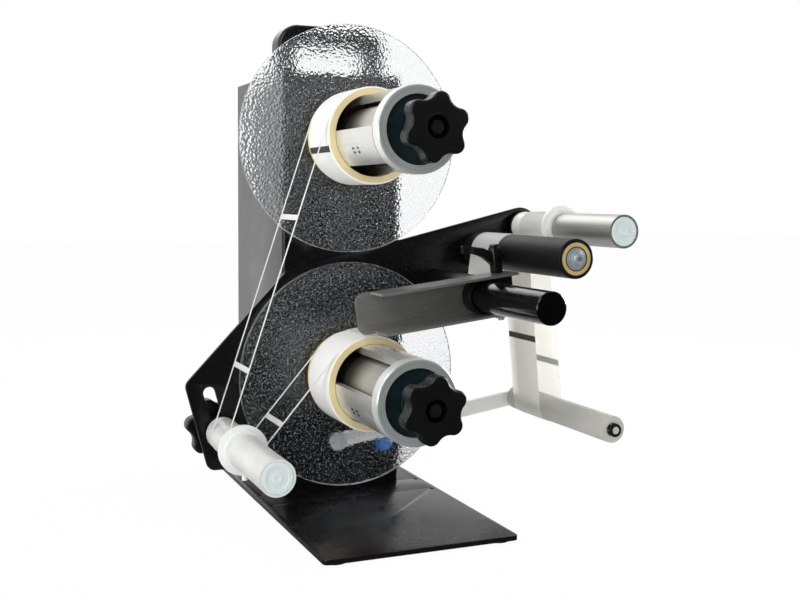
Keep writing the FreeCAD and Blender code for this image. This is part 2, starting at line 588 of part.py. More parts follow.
def make_rollers():
    keep("slot_carriage", turned("carriage", [
        ("0", "1 - rearKnobGap - rearKnobThick"), ("rearStud", "1 - rearKnobGap - rearKnobThick"),
        ("rearStud", "0"), ("slotWidth / 2 - slideClear", "0"), ("slotWidth / 2 - slideClear", "plateThick"),
        ("spacerRadius", "plateThick"), ("spacerRadius", "plateThick + spacerThick"),
        ("axleRadius", "plateThick + spacerThick"), ("axleRadius", "axleEnd"), ("0", "axleEnd")],
        "leftRollerX", "leftRollerHeight"))
    back = "-rearKnobGap - rearKnobThick"
    keep("carriage_knob", star_knob("rearKnob", "rearKnobTurn", "rearKnobThick", back, (back, "-slideClear"),
                                    (f"{back} - 1", f"{back} + rearRecess"), "rearStud + runClear",
                                    "leftRollerX", "leftRollerHeight"))
    guide_roller("left_roller", "tubeBack", "guideEnd", "leftRollerX", "leftRollerHeight")
    web_collar("left_collar", "leftRollerX", "leftRollerHeight")
    keep("top_axle", turned("topAxle", [
        ("0", "plateThick"), ("topSpacerRadius", "plateThick"),
        ("topSpacerRadius", "plateThick + topSpacerThick"), ("axleRadius", "plateThick + topSpacerThick"),
        ("axleRadius", "topRollerEnd - axleShort"), ("0", "topRollerEnd - axleShort")],
        "topRollerX", "topRollerHeight"))
    guide_roller("top_roller", "topBack", "topRollerEnd", "topRollerX", "topRollerHeight")
    web_collar("top_collar", "topRollerX", "topRollerHeight")
    cap = "capBack + capWasherThick"
    keep("rubber_axle", turned("rubberAxle", [
        ("0", "plateThick"), ("spacerRadius", "plateThick"), ("spacerRadius", "plateThick + spacerThick"),
        ("axleRadius", "plateThick + spacerThick"), ("axleRadius", "capBack"), ("capWasher", "capBack"),
        ("capWasher", cap), ("capHead", cap), ("capHead", f"{cap} + capHeadThick"),
        ("0", f"{cap} + capHeadThick")], "rubberX", "rubberHeight"))
    keep("rubber_roller", turned("rubberRoller", [
        ("rubberBore", "rubberBack"), ("rubberRadius - rubberChamfer", "rubberBack"),
        ("rubberRadius", "rubberBack + rubberChamfer"), ("rubberRadius", "rubberEnd - rubberChamfer"),
        ("rubberRadius - rubberChamfer", "rubberEnd"), ("rubberBore", "rubberEnd")],
        "rubberX", "rubberHeight"))
    bore = "axleRadius + runClear"
    bushes = [turned("bush", [(bore, a), ("rubberBore", a), ("rubberBore", b), (bore, b)],
                     "rubberX", "rubberHeight")
              for a, b in (("rubberBack", "rubberBack + bushDepth"), ("rubberEnd - bushDepth", "rubberEnd"))]
    keep("roller_bushes", group("bushes", *bushes))


# Dancer arm: a flat bar that rests on a round bumper and lifts as the web tightens
def tilted(item, x, z, angle):
    """Turn a finished piece about an axis along Y, right end up, and put it in place."""
    item.Placement = Placement(Vector(), Rotation(Vector(0, -1, 0), value(angle)))
    bind(item, Placement_Rotation_Angle=angle)
    return move(item, x, 0, z)


def make_dancer():
    wide = "dancerWide / 2"
    bar = box("bar", "dancerReach", "dancerThick", "dancerWide", "0", "-dancerFront", f"-{wide}")
    ends = [rod("barEnd", wide, "dancerThick", x, "-dancerBack", "0") for x in ("0", "dancerReach")]
    holes = [rod("barHole", radius, "dancerThick + 2", x, "-dancerBack + 1", "0")
             for x, radius in (("0", "pivotRadius"), ("dancerReach", "dancerAxle"))]
    keep("dancer_arm", tilted(cut("dancerBar", fuse("barWhole", bar, *ends), *holes),
                              "dancerPivotX", "dancerPivotHeight", "dancerTilt"))
    pivot = turned("dancerPivot", [
        ("0", "-pivotTail"), ("pivotRadius", "-pivotTail"), ("pivotRadius", "dancerFront"),
        ("pivotHead", "dancerFront"), ("pivotHead", "dancerFront + pivotHeadThick"),
        ("0", "dancerFront + pivotHeadThick")], "dancerPivotX", "dancerPivotHeight")
    axle = turned("dancerAxle", [
        ("0", "dancerBack"), ("dancerAxle", "dancerBack"), ("dancerAxle", "dancerEnd + dancerStud"),
        ("0", "dancerEnd + dancerStud")], "dancerX", "dancerHeight")
    nut = hexagon("dancerNut", "dancerNut", "dancerNutThick", "dancerX", "-(dancerEnd + slideClear)",
                  "dancerHeight")
    keep("dancer_pins", group("dancerPins", pivot, fuse("axleWithNut", axle, nut)))
    inner = "dancerRadius - guideWall"
    bore = "dancerAxle + runClear"
    back = "dancerFront + slideClear"
    keep("dancer_roller", turned("dancerRoller", [
        (bore, back), ("dancerRadius", back), ("dancerRadius", "dancerEnd"), (bore, "dancerEnd"),
        (bore, "dancerEnd - plugDepth"), (inner, "dancerEnd - plugDepth"), (inner, f"{back} + plugDepth"),
        (bore, f"{back} + plugDepth")], "dancerX", "dancerHeight"))
    washer = "plateThick + bumperWasherThick"
    keep("arm_bumper", turned("bumper", [
        ("0", "plateThick"), ("bumperRadius + bumperWasher", "plateThick"),
        ("bumperRadius + bumperWasher", washer), ("bumperRadius", washer),
        ("bumperRadius", "dancerFront - bumperRim"), ("bumperRadius - bumperRim", "dancerFront"),
        ("0", "dancerFront")],
        "dancerPivotX + bumperAlong * cos(dancerTilt) + bumperDrop * sin(dancerTilt)",
        "dancerPivotHeight + bumperAlong * sin(dancerTilt) - bumperDrop * cos(dancerTilt)"))
    bore = "pivotRadius + runClear"
    bush = turned("pivotBush", [
        (bore, "dancerBack - slideClear"), ("bushShoulder", "dancerBack - slideClear"),
        ("bushShoulder", "plateThick"), ("bushRadius", "plateThick"), ("bushRadius", "-sheetThick"),
        (bore, "-sheetThick")], "dancerPivotX", "dancerPivotHeight")
    flange_back = "-sheetThick - sensorFlangeThick"
    sensor = turned("sensorCan", [
        (bore, "-sheetThick"), ("sensorFlange", "-sheetThick"), ("sensorFlange", flange_back),
        ("sensorRadius", flange_back), ("sensorRadius", "-pivotTail - sensorCap"),
        ("0", "-pivotTail - sensorCap"), ("0", "-pivotTail - slideClear"),
        (bore, "-pivotTail - slideClear")], "dancerPivotX", "dancerPivotHeight")
    keep("angle_sensor", group("angleSensor", bush, sensor))


# Swing arm: an open channel clamped on a round post in front of the rolls
def make_post():
    keep("guide_post", turned("post", [
        ("0", "plateThick"), ("postRadius", "plateThick"), ("postRadius", "postEnd - postChamfer"),
        ("postRadius - postChamfer", "postEnd"), ("0", "postEnd")], "postX", "postHeight"))
    bore = "postRadius + runClear"
    keep("idler_sleeve", turned("idler", [
        (bore, "idlerBack"), ("idlerRadius", "idlerBack"), ("idlerRadius", "idlerFront"),
        (bore, "idlerFront")], "postX", "postHeight"))
    keep("post_stop", turned("postStop", [
        (bore, "idlerFront + slideClear"), ("stopRadius", "idlerFront + slideClear"),
        ("stopRadius", "armBack - slideClear"), (bore, "armBack - slideClear")], "postX", "postHeight"))


def make_swing_arm():
    half = "armTall / 2"
    back = plate("armBackPlate", [("-armLeft", f"-{half}"), ("armRight", f"-{half}"), ("armRight", half),
                                  ("-armLeft", half)], "armWall", "-armBack")
    round_edges(back, ALONG_Y, "armCorner", [("-armLeft", f"-{half}"), ("-armLeft", half)])
    flanges = [box("armFlange", "armLeft - armShoulder + armRight", "armDepth", "armWall",
                   "-armLeft + armShoulder", "-armBack - armDepth", z)
               for z in (f"-{half}", f"{half} - armWall")]
    holes = [rod("armHole", "postRadius + runClear", "armWall + 2", "0", "-armBack + 1", "0")]
    for z in (f"-{half} - 1", f"{half} - armWall - 1"):
        holes.append(rod("boltHole", "studRadius + slideClear", "armWall + 2", "studAlong",
                         "-armBack - studDepth", z, UPRIGHT))
    channel = cut("armChannel", fuse("armWhole", back, *flanges), *holes)
    keep("swing_channel", tilted(channel, "postX", "postHeight", "armTilt"))
    inside = "(armTall / 2 - armWall)"
    ring = rod("holdRing", inside, "holdThick", "0", "-armFront", "0")
    ears = box("holdEars", "armRight - 2", "holdThick", f"2 * {inside}", "0", "-armFront - holdThick",
               f"-{inside}")
    tools = [rod("holdBore", "postRadius + runClear", "holdThick + 2", "0", "-armFront + 1", "0"),
             box("holdSlit", "armRight", "holdThick + 2", "holdSlit", "postRadius - 2",
                 "-armFront - holdThick - 1", "-holdSlit / 2"),
             rod("holdBolt", "studRadius + slideClear", f"2 * {inside} + 2", "studAlong",
                 "-armBack - studDepth", f"-{inside} - 1", UPRIGHT)]
    keep("clamp_block", tilted(cut("clampBlock", fuse("holdWhole", ring, ears), *tools),
                               "postX", "postHeight", "armTilt"))
    y = "-armBack - studDepth"
    hub = rod("leverHub", "leverHub", "leverTall", "studAlong", y, f"{half} + slideClear", UPRIGHT)
    button = rod("leverButton", "leverHub - 2", "2", "studAlong", y, f"{half} + slideClear + leverTall",
                 UPRIGHT)
    below = [("0", 0.16), ("-0.15 * leverReach", 0.2), ("-0.36 * leverReach", 0.48),
             ("-0.6 * leverReach", 0.64), ("-leverReach", 0.66)]
    above = [("-leverReach", 0.96), ("-0.48 * leverReach", 0.98), ("-0.21 * leverReach", 0.8), ("0", 0.64)]
    handle = plate("leverHandle", [(x, f"{share} * leverTall") for x, share in below + above], "leverWide",
                   f"{y} + leverWide / 2", "studAlong", f"{half} + slideClear")
    nut_gap = "(leverNutThick + slideClear)"
    stud = rod("leverStud", "studRadius", f"armTall + {nut_gap} + studRadius", "studAlong", y,
               f"-{half} - {nut_gap} - studRadius + slideClear", UPRIGHT)
    nut = hexagon("leverNut", "leverNut", "leverNutThick", "studAlong", y, f"-{half} - {nut_gap}", UPRIGHT)
    keep("clamp_lever", tilted(fuse("clampLever", hub, button, handle, stud, nut),
                               "postX", "postHeight", "armTilt"))


# Bearings, motor, belts and electrics inside the column
def make_drive():
    blocks = []
    rings = []
    for hub in ("lowerHubHeight", "upperHubHeight"):
        block = box("block", "blockWidth", "blockDepth", "blockWidth", "-blockWidth / 2", "sheetThick",
                    f"{hub} - blockWidth / 2")
        inner = "sheetThick + blockDepth - bearingThick"
        tools = [rod("seat", "bearingRadius", "bearingThick + 1", "0", "sheetThick + blockDepth + 1", hub),
                 rod("seat", "bearingRadius", "bearingThick + 1", "0", "sheetThick + bearingThick", hub),
                 rod("blockBore", "bearingRadius - bearingLip", "blockDepth + 2", "0",
                     "sheetThick + blockDepth + 1", hub)]
        blocks.append(cut("blockCut", block, *tools))
        bore = "shaftRadius + runClear"
        for near in ("-sheetThick - bearingThick", f"-({inner}) - bearingThick"):
            rings.append(turned("bearing", [
                (bore, near), ("bearingRadius", near), ("bearingRadius", f"{near} + bearingThick"),
                (bore, f"{near} + bearingThick")], 0, hub))
    keep("bearing_blocks", group("bearingBlocks", *blocks))
    keep("ball_bearings", group("ballBearings", *rings))
    wall = "-wallX + sheetThick"
    low = "motorHeight - motorRadius - bracketMargin"
    tall = "2 * (motorRadius + bracketMargin)"
    arm = box("bracketPlate", "wallX - sheetThick + motorRadius + bracketThick", "bracketThick", tall, wall,
              "bracketY", low)
    foot = box("bracketFoot", "bracketThick", "bracketFoot", tall, wall, "bracketY", low)
    boss = rod("bracketHole", "motorBoss", "bracketThick + 2", "0", "bracketY + bracketThick + 1",
               "motorHeight")
    keep("motor_bracket", cut("motorBracket", fuse("bracketWhole", arm, foot), boss))
    face = "bracketY + bracketThick"
    bore = "motorShaft + runClear"
    keep("drive_motor", turned("motor", [
        ("0", f"-({face}) - motorLength"), ("motorRadius", f"-({face}) - motorLength"),
        ("motorRadius", f"-({face})"), ("motorBoss", f"-({face})"), ("motorBoss", "-bracketY"),
        (bore, "-bracketY"), (bore, f"-({face}) - motorBore"), ("0", f"-({face}) - motorBore")],
        0, "motorHeight"))
    tail = f"-({face}) - motorBore + 1"
    keep("motor_pulley", turned("motorPulley", [
        ("0", tail), ("motorShaft", tail), ("motorShaft", "-lowerBeltY - pulleyEnd"),
        *pulley_profile("motorPulleyRadius", "lowerBeltY"), ("motorShaft", "-lowerBeltY + pulleyEnd"),
        ("motorShaft", "-upperBeltY - pulleyEnd"), *pulley_profile("motorPulleyRadius", "upperBeltY"),
        ("0", "-upperBeltY + pulleyEnd")], 0, "motorHeight"))


def strap(label, gap, length, y, big_z, small_z):
    """The filled outline of a belt run round two pulleys, each grown by a gap."""
    big, small = f"(pulleyRadius + {gap})", f"(motorPulleyRadius + {gap})"
    span = value(f"({small_z}) - ({big_z})")
    lean = math.asin(value("pulleyRadius - motorPulleyRadius") / abs(span))
    rise = math.copysign(math.sin(lean), span)
    reach = math.cos(lean)
    sides = plate(label + "Sides", [
        (f"-{big} * {reach:.6f}", f"({big_z}) + {big} * {rise:.6f}"),
        (f"{big} * {reach:.6f}", f"({big_z}) + {big} * {rise:.6f}"),
        (f"{small} * {reach:.6f}", f"({small_z}) + {small} * {rise:.6f}"),
        (f"-{small} * {reach:.6f}", f"({small_z}) + {small} * {rise:.6f}")], length, y)
    rounds = [rod(label + "End", radius, length, "0", y, z) for radius, z in ((big, big_z), (small, small_z))]
    return fuse(label, sides, *rounds)


def make_belts():
    belts = []
    for y, hub in (("lowerBeltY", "lowerHubHeight"), ("upperBeltY", "upperHubHeight")):
        outer = strap("beltOuter", "slideClear + beltThick", "beltWide", f"{y} + beltWide / 2", hub,
                      "motorHeight")
        inner = strap("beltInner", "slideClear", "beltWide + 2", f"{y} + beltWide / 2 + 1", hub,
                      "motorHeight")
        belts.append(cut("belt", outer, inner))
    keep("drive_belts", group("driveBelts", *belts))


def make_electrics():
    face = "wallX - sheetThick - boardGap"
    left, low = "coverY - boardBack - boardWide", "boardHeight - boardTall / 2"
    board = box("board", "boardThick", "boardWide", "boardTall", f"{face} - boardThick", left, low)
    posts = [rod("standoff", "standoff", "boardGap", face,
                 f"{left} + boardWide / 2 + {a} * (boardWide / 2 - standoffInset)",
                 f"boardHeight + {b} * (boardTall / 2 - standoffInset)", ACROSS)
             for a in (-1, 1) for b in (-1, 1)]
    shares = [(0.33, 0.24, 0.13, 0.13), (0.24, 0.36, 0.58, 0.11), (0.49, 0.15, 0.16, 0.71)]
    parts = [box("component", "boardParts", f"{wide} * boardWide", f"{tall} * boardTall",
                 f"{face} - boardThick - boardParts", f"{left} + {y} * boardWide", f"{low} + {z} * boardTall")
             for wide, tall, y, z in shares]
    keep("control_board", fuse("controlBoard", board, *posts, *parts))
    body = box("entryBody", "entryWide", "entryDepth + sheetThick", "entryTall", "-entryWide / 2",
               "coverY - entryDepth", "entryHeight")
    bezel = box("entryBezel", "entryWide + 2 * bezelLip", "bezelThick", "entryTall + 2 * bezelLip",
                "-entryWide / 2 - bezelLip", "coverFace", "entryHeight - bezelLip")
    gap = "4 * slideClear"
    well = box("rockerWell", "rockerWide + 1", "wellDepth + 1", f"rockerTall + 2 * {gap}",
               "-(rockerWide + 1) / 2", "bezelFace - wellDepth", f"rockerMiddle - rockerTall / 2 - {gap}")
    socket = box("socket", "socketWide", "socketDepth + 1", "socketTall", "-socketWide / 2",
                 "bezelFace - socketDepth", "entryHeight + 4")
    hinge_y = "bezelFace - rockerDepth / 2 + 0.5"
    pin_bore = rod("pinBore", "rockerPin + runClear", "entryWide - 3", "-entryWide / 2 + 1.5", hinge_y,
                   "rockerMiddle", ACROSS)
    pins = [box("pin", "pinWide", "socketDepth - 1", "pinTall", f"{x} - pinWide / 2",
                "bezelFace - socketDepth - 0.5", f"entryHeight + {z}")
            for x, z in (("-pinTall - 2", 8), ("0", 11), ("pinTall + 2", 8))]
    shell = cut("entryShell", fuse("entryWhole", body, bezel), well, socket, pin_bore)
    keep("power_entry", fuse("powerEntry", shell, *pins))
    rocker = box("rocker", "rockerWide", "rockerDepth", "rockerTall", "-rockerWide / 2",
                 "bezelFace + 1.5 - rockerDepth", "rockerMiddle - rockerTall / 2")
    dish = rod("rockerDish", "rockerDish", "entryWide", "-entryWide / 2", "bezelFace + rockerDish - 0.1",
               "rockerMiddle", ACROSS)
    pin = rod("rockerPin", "rockerPin", "entryWide - 4", "-entryWide / 2 + 2", hinge_y, "rockerMiddle",
              ACROSS)
    keep("power_rocker", fuse("powerRocker", cut("rockerCut", rocker, dish), pin))


# Label web and the ladder of waste left when the labels are gone
def path_runs(circles, shift):
    """Tangent runs between signed circles; the line is shifted to the left of its travel."""
    runs = []
    for (x1, z1, r1), (x2, z2, r2) in zip(circles, circles[1:]):
        a, b = r1 - shift, r2 - shift
        across, up = x2 - x1, z2 - z1
        turn = math.atan2(up, across) - math.asin((b - a) / math.hypot(across, up))
        normal = Vector(-math.sin(turn), 0, math.cos(turn))
        runs.append((Vector(x1, 0, z1) - normal * a, Vector(x2, 0, z2) - normal * b))
    return runs


def path_line(circles, shift):
    """The edges of the shifted path: straight runs joined by arcs round the circles."""
    runs = path_runs(circles, shift)
    edges = []
    for index, (start, end) in enumerate(runs):
        edges.append(Part.LineSegment(start, end).toShape())
        if index + 1 < len(runs):
            x, z, radius = circles[index + 1]
            centre = Vector(x, 0, z)
            leave = runs[index + 1][0]
            first, last = end - centre, leave - centre
            turn = math.atan2(first.x * last.z - first.z * last.x, first.x * last.x + first.z * last.z)
            if radius > 0 and turn < 0:
                turn += 2 * math.pi
            if radius < 0 and turn > 0:
                turn -= 2 * math.pi
            half = turn / 2
            middle = centre + Vector(first.x * math.cos(half) - first.z * math.sin(half), 0,
                                     first.x * math.sin(half) + first.z * math.cos(half))
            edges.append(Part.Arc(end, middle, leave).toShape())
    return edges


def web_solid(circles, back, wide):
    """A thin band of the web's thickness that follows the path, between two depths."""
    near = path_line(circles, 0)
    far = path_line(circles, value("webThick"))
    first = Part.LineSegment(near[0].Vertexes[0].Point, far[0].Vertexes[0].Point).toShape()
    last = Part.LineSegment(near[-1].Vertexes[-1].Point, far[-1].Vertexes[-1].Point).toShape()
    wire = Part.Wire(Part.__sortEdges__([*near, last, *far, first]))
    face = Part.Face(wire)
    face.translate(Vector(0, -back, 0))
    return face.extrude(Vector(0, -wide, 0))


def circle(x, z, radius, side):
    """A roller that the web passes; side is 1 when its middle is to the left of the travel."""
    reach = value(radius) + value("webClear") + (value("webThick") if side > 0 else 0)
    return value(x), value(z), side * reach


def make_webs():
    tail_height = "topRollerHeight + guideRadius + webClear + webThick"
    rewind = [(value("topRollerX + webTail"), value(tail_height), 0),
              circle("topRollerX", "topRollerHeight", "guideRadius", 1),
              circle("dancerX", "dancerHeight", "dancerRadius", -1),
              circle("rubberX", "rubberHeight", "rubberRadius", 1),
              circle("postX", "postHeight", "idlerRadius", -1),
              circle("0", "lowerHubHeight", "rollRadius", 1)]
    web = new("Part::Feature", "labelWeb")
    web.Shape = web_solid(rewind, value("webBack"), value("webWidth"))
    keep("label_web", web)
    waste = [circle("0", "upperHubHeight", "rollRadius", 1),
             circle("leftRollerX", "leftRollerHeight", "guideRadius", 1),
             circle("0", "lowerHubHeight", "rollRadius", -1)]
    pieces = [web_solid(waste, value(back), value("stripWidth"))
              for back in ("webBack", "webFront - stripWidth")]
    down, up = path_runs(waste, value("webThick"))
    for run, share in ((down, "upperBar"), (down, "middleBar"), (up, "lowerBar")):
        along = (run[1] - run[0]).normalize()
        start = run[0] + along * (value(share) * (run[1] - run[0]).Length)
        side = Vector(-along.z, 0, along.x) * value("webThick")
        corners = [start, start + along * value("barWidth")]
        corners += [corners[1] + side, corners[0] + side, corners[0]]
        face = Part.Face(Part.makePolygon(corners))
        face.translate(Vector(0, -value("webBack") - value("stripWidth") / 2, 0))
        pieces.append(face.extrude(Vector(0, -value("webWidth - stripWidth"), 0)))
    ladder = new("Part::Feature", "ladderWeb")
    ladder.Shape = pieces[0].multiFuse(pieces[1:])
    keep("ladder_web", ladder)


make_base()
make_column()
make_cover()
make_handle()
make_wing()
make_screws()
for level in ("lower", "upper"):
    hub = level + "HubHeight"
    make_spindle(level, hub, level + "BeltY")
    make_segments(level, hub)
    make_front(level, hub)
make_rollers()
make_dancer()
make_post()
make_swing_arm()
make_drive()
make_belts()
make_electrics()
make_webs()
doc.recompute()

faults = [item.Name for item in doc.Objects if "Invalid" in item.State or "Error" in item.State]
for name, item in nodes.items():
    if item.Shape.isNull() or not item.Shape.isValid() or not item.Shape.Solids:
        faults.append(name)
if faults:
    raise SystemExit("These objects failed: " + ", ".join(faults))
for name, item in nodes.items():
    item.Shape.exportStep(f"parts/{name}.step")
    box_now = item.Shape.BoundBox
    print(f"{name}: {len(item.Shape.Solids)} solid(s), {item.Shape.Volume:.0f} mm3, "
          f"x {box_now.XMin:.1f} {box_now.XMax:.1f} y {box_now.YMin:.1f} {box_now.YMax:.1f} "
          f"z {box_now.ZMin:.1f} {box_now.ZMax:.1f}")
print(len(nodes), "nodes")
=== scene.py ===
# Label rewinder: finishes, paper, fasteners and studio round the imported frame. Metres throughout.
import json
import math
import bpy
from mathutils import Matrix, Vector

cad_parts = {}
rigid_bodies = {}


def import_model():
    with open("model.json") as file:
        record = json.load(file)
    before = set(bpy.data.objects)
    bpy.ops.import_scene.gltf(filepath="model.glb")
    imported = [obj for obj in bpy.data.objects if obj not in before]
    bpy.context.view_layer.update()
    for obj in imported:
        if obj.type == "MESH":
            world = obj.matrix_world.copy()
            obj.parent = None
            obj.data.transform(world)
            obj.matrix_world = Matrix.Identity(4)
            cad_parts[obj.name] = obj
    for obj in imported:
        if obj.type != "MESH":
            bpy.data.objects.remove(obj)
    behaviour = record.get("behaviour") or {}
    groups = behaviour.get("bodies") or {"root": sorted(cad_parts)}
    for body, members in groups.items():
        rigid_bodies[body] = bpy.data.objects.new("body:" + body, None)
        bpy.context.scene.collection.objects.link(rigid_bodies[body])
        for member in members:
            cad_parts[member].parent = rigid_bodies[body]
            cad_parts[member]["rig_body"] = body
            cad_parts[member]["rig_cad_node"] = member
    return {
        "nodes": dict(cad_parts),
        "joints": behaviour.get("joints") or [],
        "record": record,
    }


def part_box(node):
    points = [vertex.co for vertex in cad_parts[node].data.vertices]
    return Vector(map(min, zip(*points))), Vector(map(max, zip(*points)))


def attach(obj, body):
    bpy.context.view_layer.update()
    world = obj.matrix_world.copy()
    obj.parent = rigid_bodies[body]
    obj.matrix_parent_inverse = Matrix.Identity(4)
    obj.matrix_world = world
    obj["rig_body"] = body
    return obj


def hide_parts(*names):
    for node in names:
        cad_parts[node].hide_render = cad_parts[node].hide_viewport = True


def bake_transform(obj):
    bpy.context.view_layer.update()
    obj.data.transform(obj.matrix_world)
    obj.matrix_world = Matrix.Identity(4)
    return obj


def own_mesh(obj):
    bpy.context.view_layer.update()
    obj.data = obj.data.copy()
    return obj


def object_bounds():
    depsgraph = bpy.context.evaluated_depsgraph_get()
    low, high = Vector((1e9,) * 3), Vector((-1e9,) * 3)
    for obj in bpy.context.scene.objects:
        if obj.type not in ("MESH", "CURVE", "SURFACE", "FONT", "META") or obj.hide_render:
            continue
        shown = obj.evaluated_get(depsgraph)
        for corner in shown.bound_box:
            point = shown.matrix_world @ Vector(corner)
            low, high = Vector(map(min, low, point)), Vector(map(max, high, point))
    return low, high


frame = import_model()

bpy.ops.object.select_all(action="DESELECT")
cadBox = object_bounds()
cad = frame["nodes"]
bodyOf = {node: body for body, members in frame["record"]["behaviour"]["bodies"].items() for node in members}
levels = ("lower", "upper")
print("frame loaded:", len(cad), "nodes")


# Small helpers for nodes and meshes
def addNode(tree, kind, inputs=None, **settings):
    node = tree.nodes.new(kind)
    for name, setting in settings.items():
        setattr(node, name, setting)
    for name, start in (inputs or {}).items():
        if isinstance(start, bpy.types.NodeSocket):
            tree.links.new(start, node.inputs[name])
        else:
            node.inputs[name].default_value = start
    return node


def mathNode(tree, operation, first, second=0.0):
    return addNode(tree, "ShaderNodeMath", {0: first, 1: second}, operation=operation).outputs[0]


def mapValue(tree, source, fromLow, fromHigh, toLow=0.0, toHigh=1.0):
    spread = {"Value": source, "From Min": fromLow, "From Max": fromHigh, "To Min": toLow, "To Max": toHigh}
    return addNode(tree, "ShaderNodeMapRange", spread).outputs["Result"]


def beginGroup(name, inputs, outputs):
    group = bpy.data.node_groups.new(name, "ShaderNodeTree")
    for label, kind, start in inputs:
        socket = group.interface.new_socket(name=label, in_out="INPUT", socket_type="NodeSocket" + kind)
        if start is not None:
            socket.default_value = start
    for label in outputs:
        group.interface.new_socket(name=label, in_out="OUTPUT", socket_type="NodeSocketFloat")
    return group, group.nodes.new("NodeGroupInput").outputs, group.nodes.new("NodeGroupOutput").inputs


# Shared effects, each a group with named inputs and outputs
def makeFineGrain():
    group, given, result = beginGroup("fineGrain", [("Vector", "Vector", None), ("Density", "Float", 900.0)],
                                      ["Shade", "Height"])
    noise = addNode(group, "ShaderNodeTexNoise", {"Vector": given["Vector"], "Scale": given["Density"],
                                                  "Detail": 3.0, "Roughness": 0.6})
    group.links.new(mapValue(group, noise.outputs["Fac"], 0.35, 0.65), result["Shade"])
    group.links.new(noise.outputs["Fac"], result["Height"])
    return group


def makeBrushedLines():
    group, given, result = beginGroup("brushedLines", [("Vector", "Vector", None),
                                                       ("Run", "Vector", (900.0, 12.0, 900.0))],
                                      ["Streak", "Height"])
    run = addNode(group, "ShaderNodeVectorMath", {0: given["Vector"], 1: given["Run"]}, operation="MULTIPLY")
    noise = addNode(group, "ShaderNodeTexNoise", {"Vector": run.outputs["Vector"], "Scale": 1.0, "Detail": 4.0,
                                                  "Roughness": 0.65})
    group.links.new(mapValue(group, noise.outputs["Fac"], 0.3, 0.7), result["Streak"])
    group.links.new(noise.outputs["Fac"], result["Height"])
    return group


def makeTurnedRings():
    group, given, result = beginGroup("turnedRings", [("Vector", "Vector", None), ("Pitch", "Float", 0.0004)],
                                      ["Line", "Height"])
    apart = addNode(group, "ShaderNodeSeparateXYZ", {"Vector": given["Vector"]})
    flat = addNode(group, "ShaderNodeCombineXYZ", {"X": apart.outputs["X"], "Z": apart.outputs["Z"]})
    radius = addNode(group, "ShaderNodeVectorMath", {0: flat.outputs["Vector"]}, operation="LENGTH")
    turns = mathNode(group, "DIVIDE", radius.outputs["Value"], given["Pitch"])
    noise = addNode(group, "ShaderNodeTexNoise", {"W": turns, "Scale": 1.0, "Detail": 2.0},
                    noise_dimensions="1D")
    group.links.new(mapValue(group, noise.outputs["Fac"], 0.3, 0.7), result["Line"])
    group.links.new(noise.outputs["Fac"], result["Height"])
    return group


def makeHammeredCells():
    group, given, result = beginGroup("hammeredCells", [("Vector", "Vector", None), ("Cell", "Float", 0.0025)],
                                      ["Height"])
    apart = addNode(group, "ShaderNodeSeparateXYZ", {"Vector": given["Vector"]})
    flat = addNode(group, "ShaderNodeCombineXYZ", {"X": apart.outputs["X"], "Z": apart.outputs["Z"]})
    scale = mathNode(group, "DIVIDE", 1.0, given["Cell"])
    warp = addNode(group, "ShaderNodeTexNoise", {"Vector": flat.outputs["Vector"], "Scale": scale, "Detail": 1.0})
    shift = addNode(group, "ShaderNodeVectorMath", {0: warp.outputs["Color"], 1: (0.0012, 0.0, 0.0012)},
                    operation="MULTIPLY")
    bent = addNode(group, "ShaderNodeVectorMath", {0: flat.outputs["Vector"], 1: shift.outputs["Vector"]})
    cells = addNode(group, "ShaderNodeTexVoronoi", {"Vector": bent.outputs["Vector"], "Scale": scale,
                                                    "Smoothness": 0.35}, feature="SMOOTH_F1")
    group.links.new(cells.outputs["Distance"], result["Height"])
    return group


# edge mask; the finishes paint highlights along edges with it
def makeEdgeHighlight():
    group, given, result = beginGroup("edgeHighlight", [("Reach", "Float", 0.0006), ("Gain", "Float", 8.0)], ["Mask"])
    bevel = addNode(group, "ShaderNodeBevel", {"Radius": given["Reach"]}, samples=4)
    normal = addNode(group, "ShaderNodeNewGeometry")
    dot = addNode(group, "ShaderNodeVectorMath", {0: bevel.outputs["Normal"], 1: normal.outputs["Normal"]},
                  operation="DOT_PRODUCT")
    away = mathNode(group, "SUBTRACT", 1.0, dot.outputs["Value"])
    gain = addNode(group, "ShaderNodeMath", {0: away, 1: given["Gain"]}, operation="MULTIPLY", use_clamp=True)
    group.links.new(gain.outputs[0], result["Mask"])
    return group


def makeHandling():
    group, given, result = beginGroup("handling", [("Vector", "Vector", None), ("Spread", "Float", 22.0)],
                                      ["Mask"])
    noise = addNode(group, "ShaderNodeTexNoise", {"Vector": given["Vector"], "Scale": given["Spread"],
                                                  "Detail": 5.0, "Roughness": 0.7, "Distortion": 0.4})
    group.links.new(mapValue(group, noise.outputs["Fac"], 0.35, 0.7), result["Mask"])
    return group


fineGrain = makeFineGrain()
brushedLines = makeBrushedLines()
turnedRings = makeTurnedRings()
hammeredCells = makeHammeredCells()
edgeHighlight = makeEdgeHighlight()
handling = makeHandling()


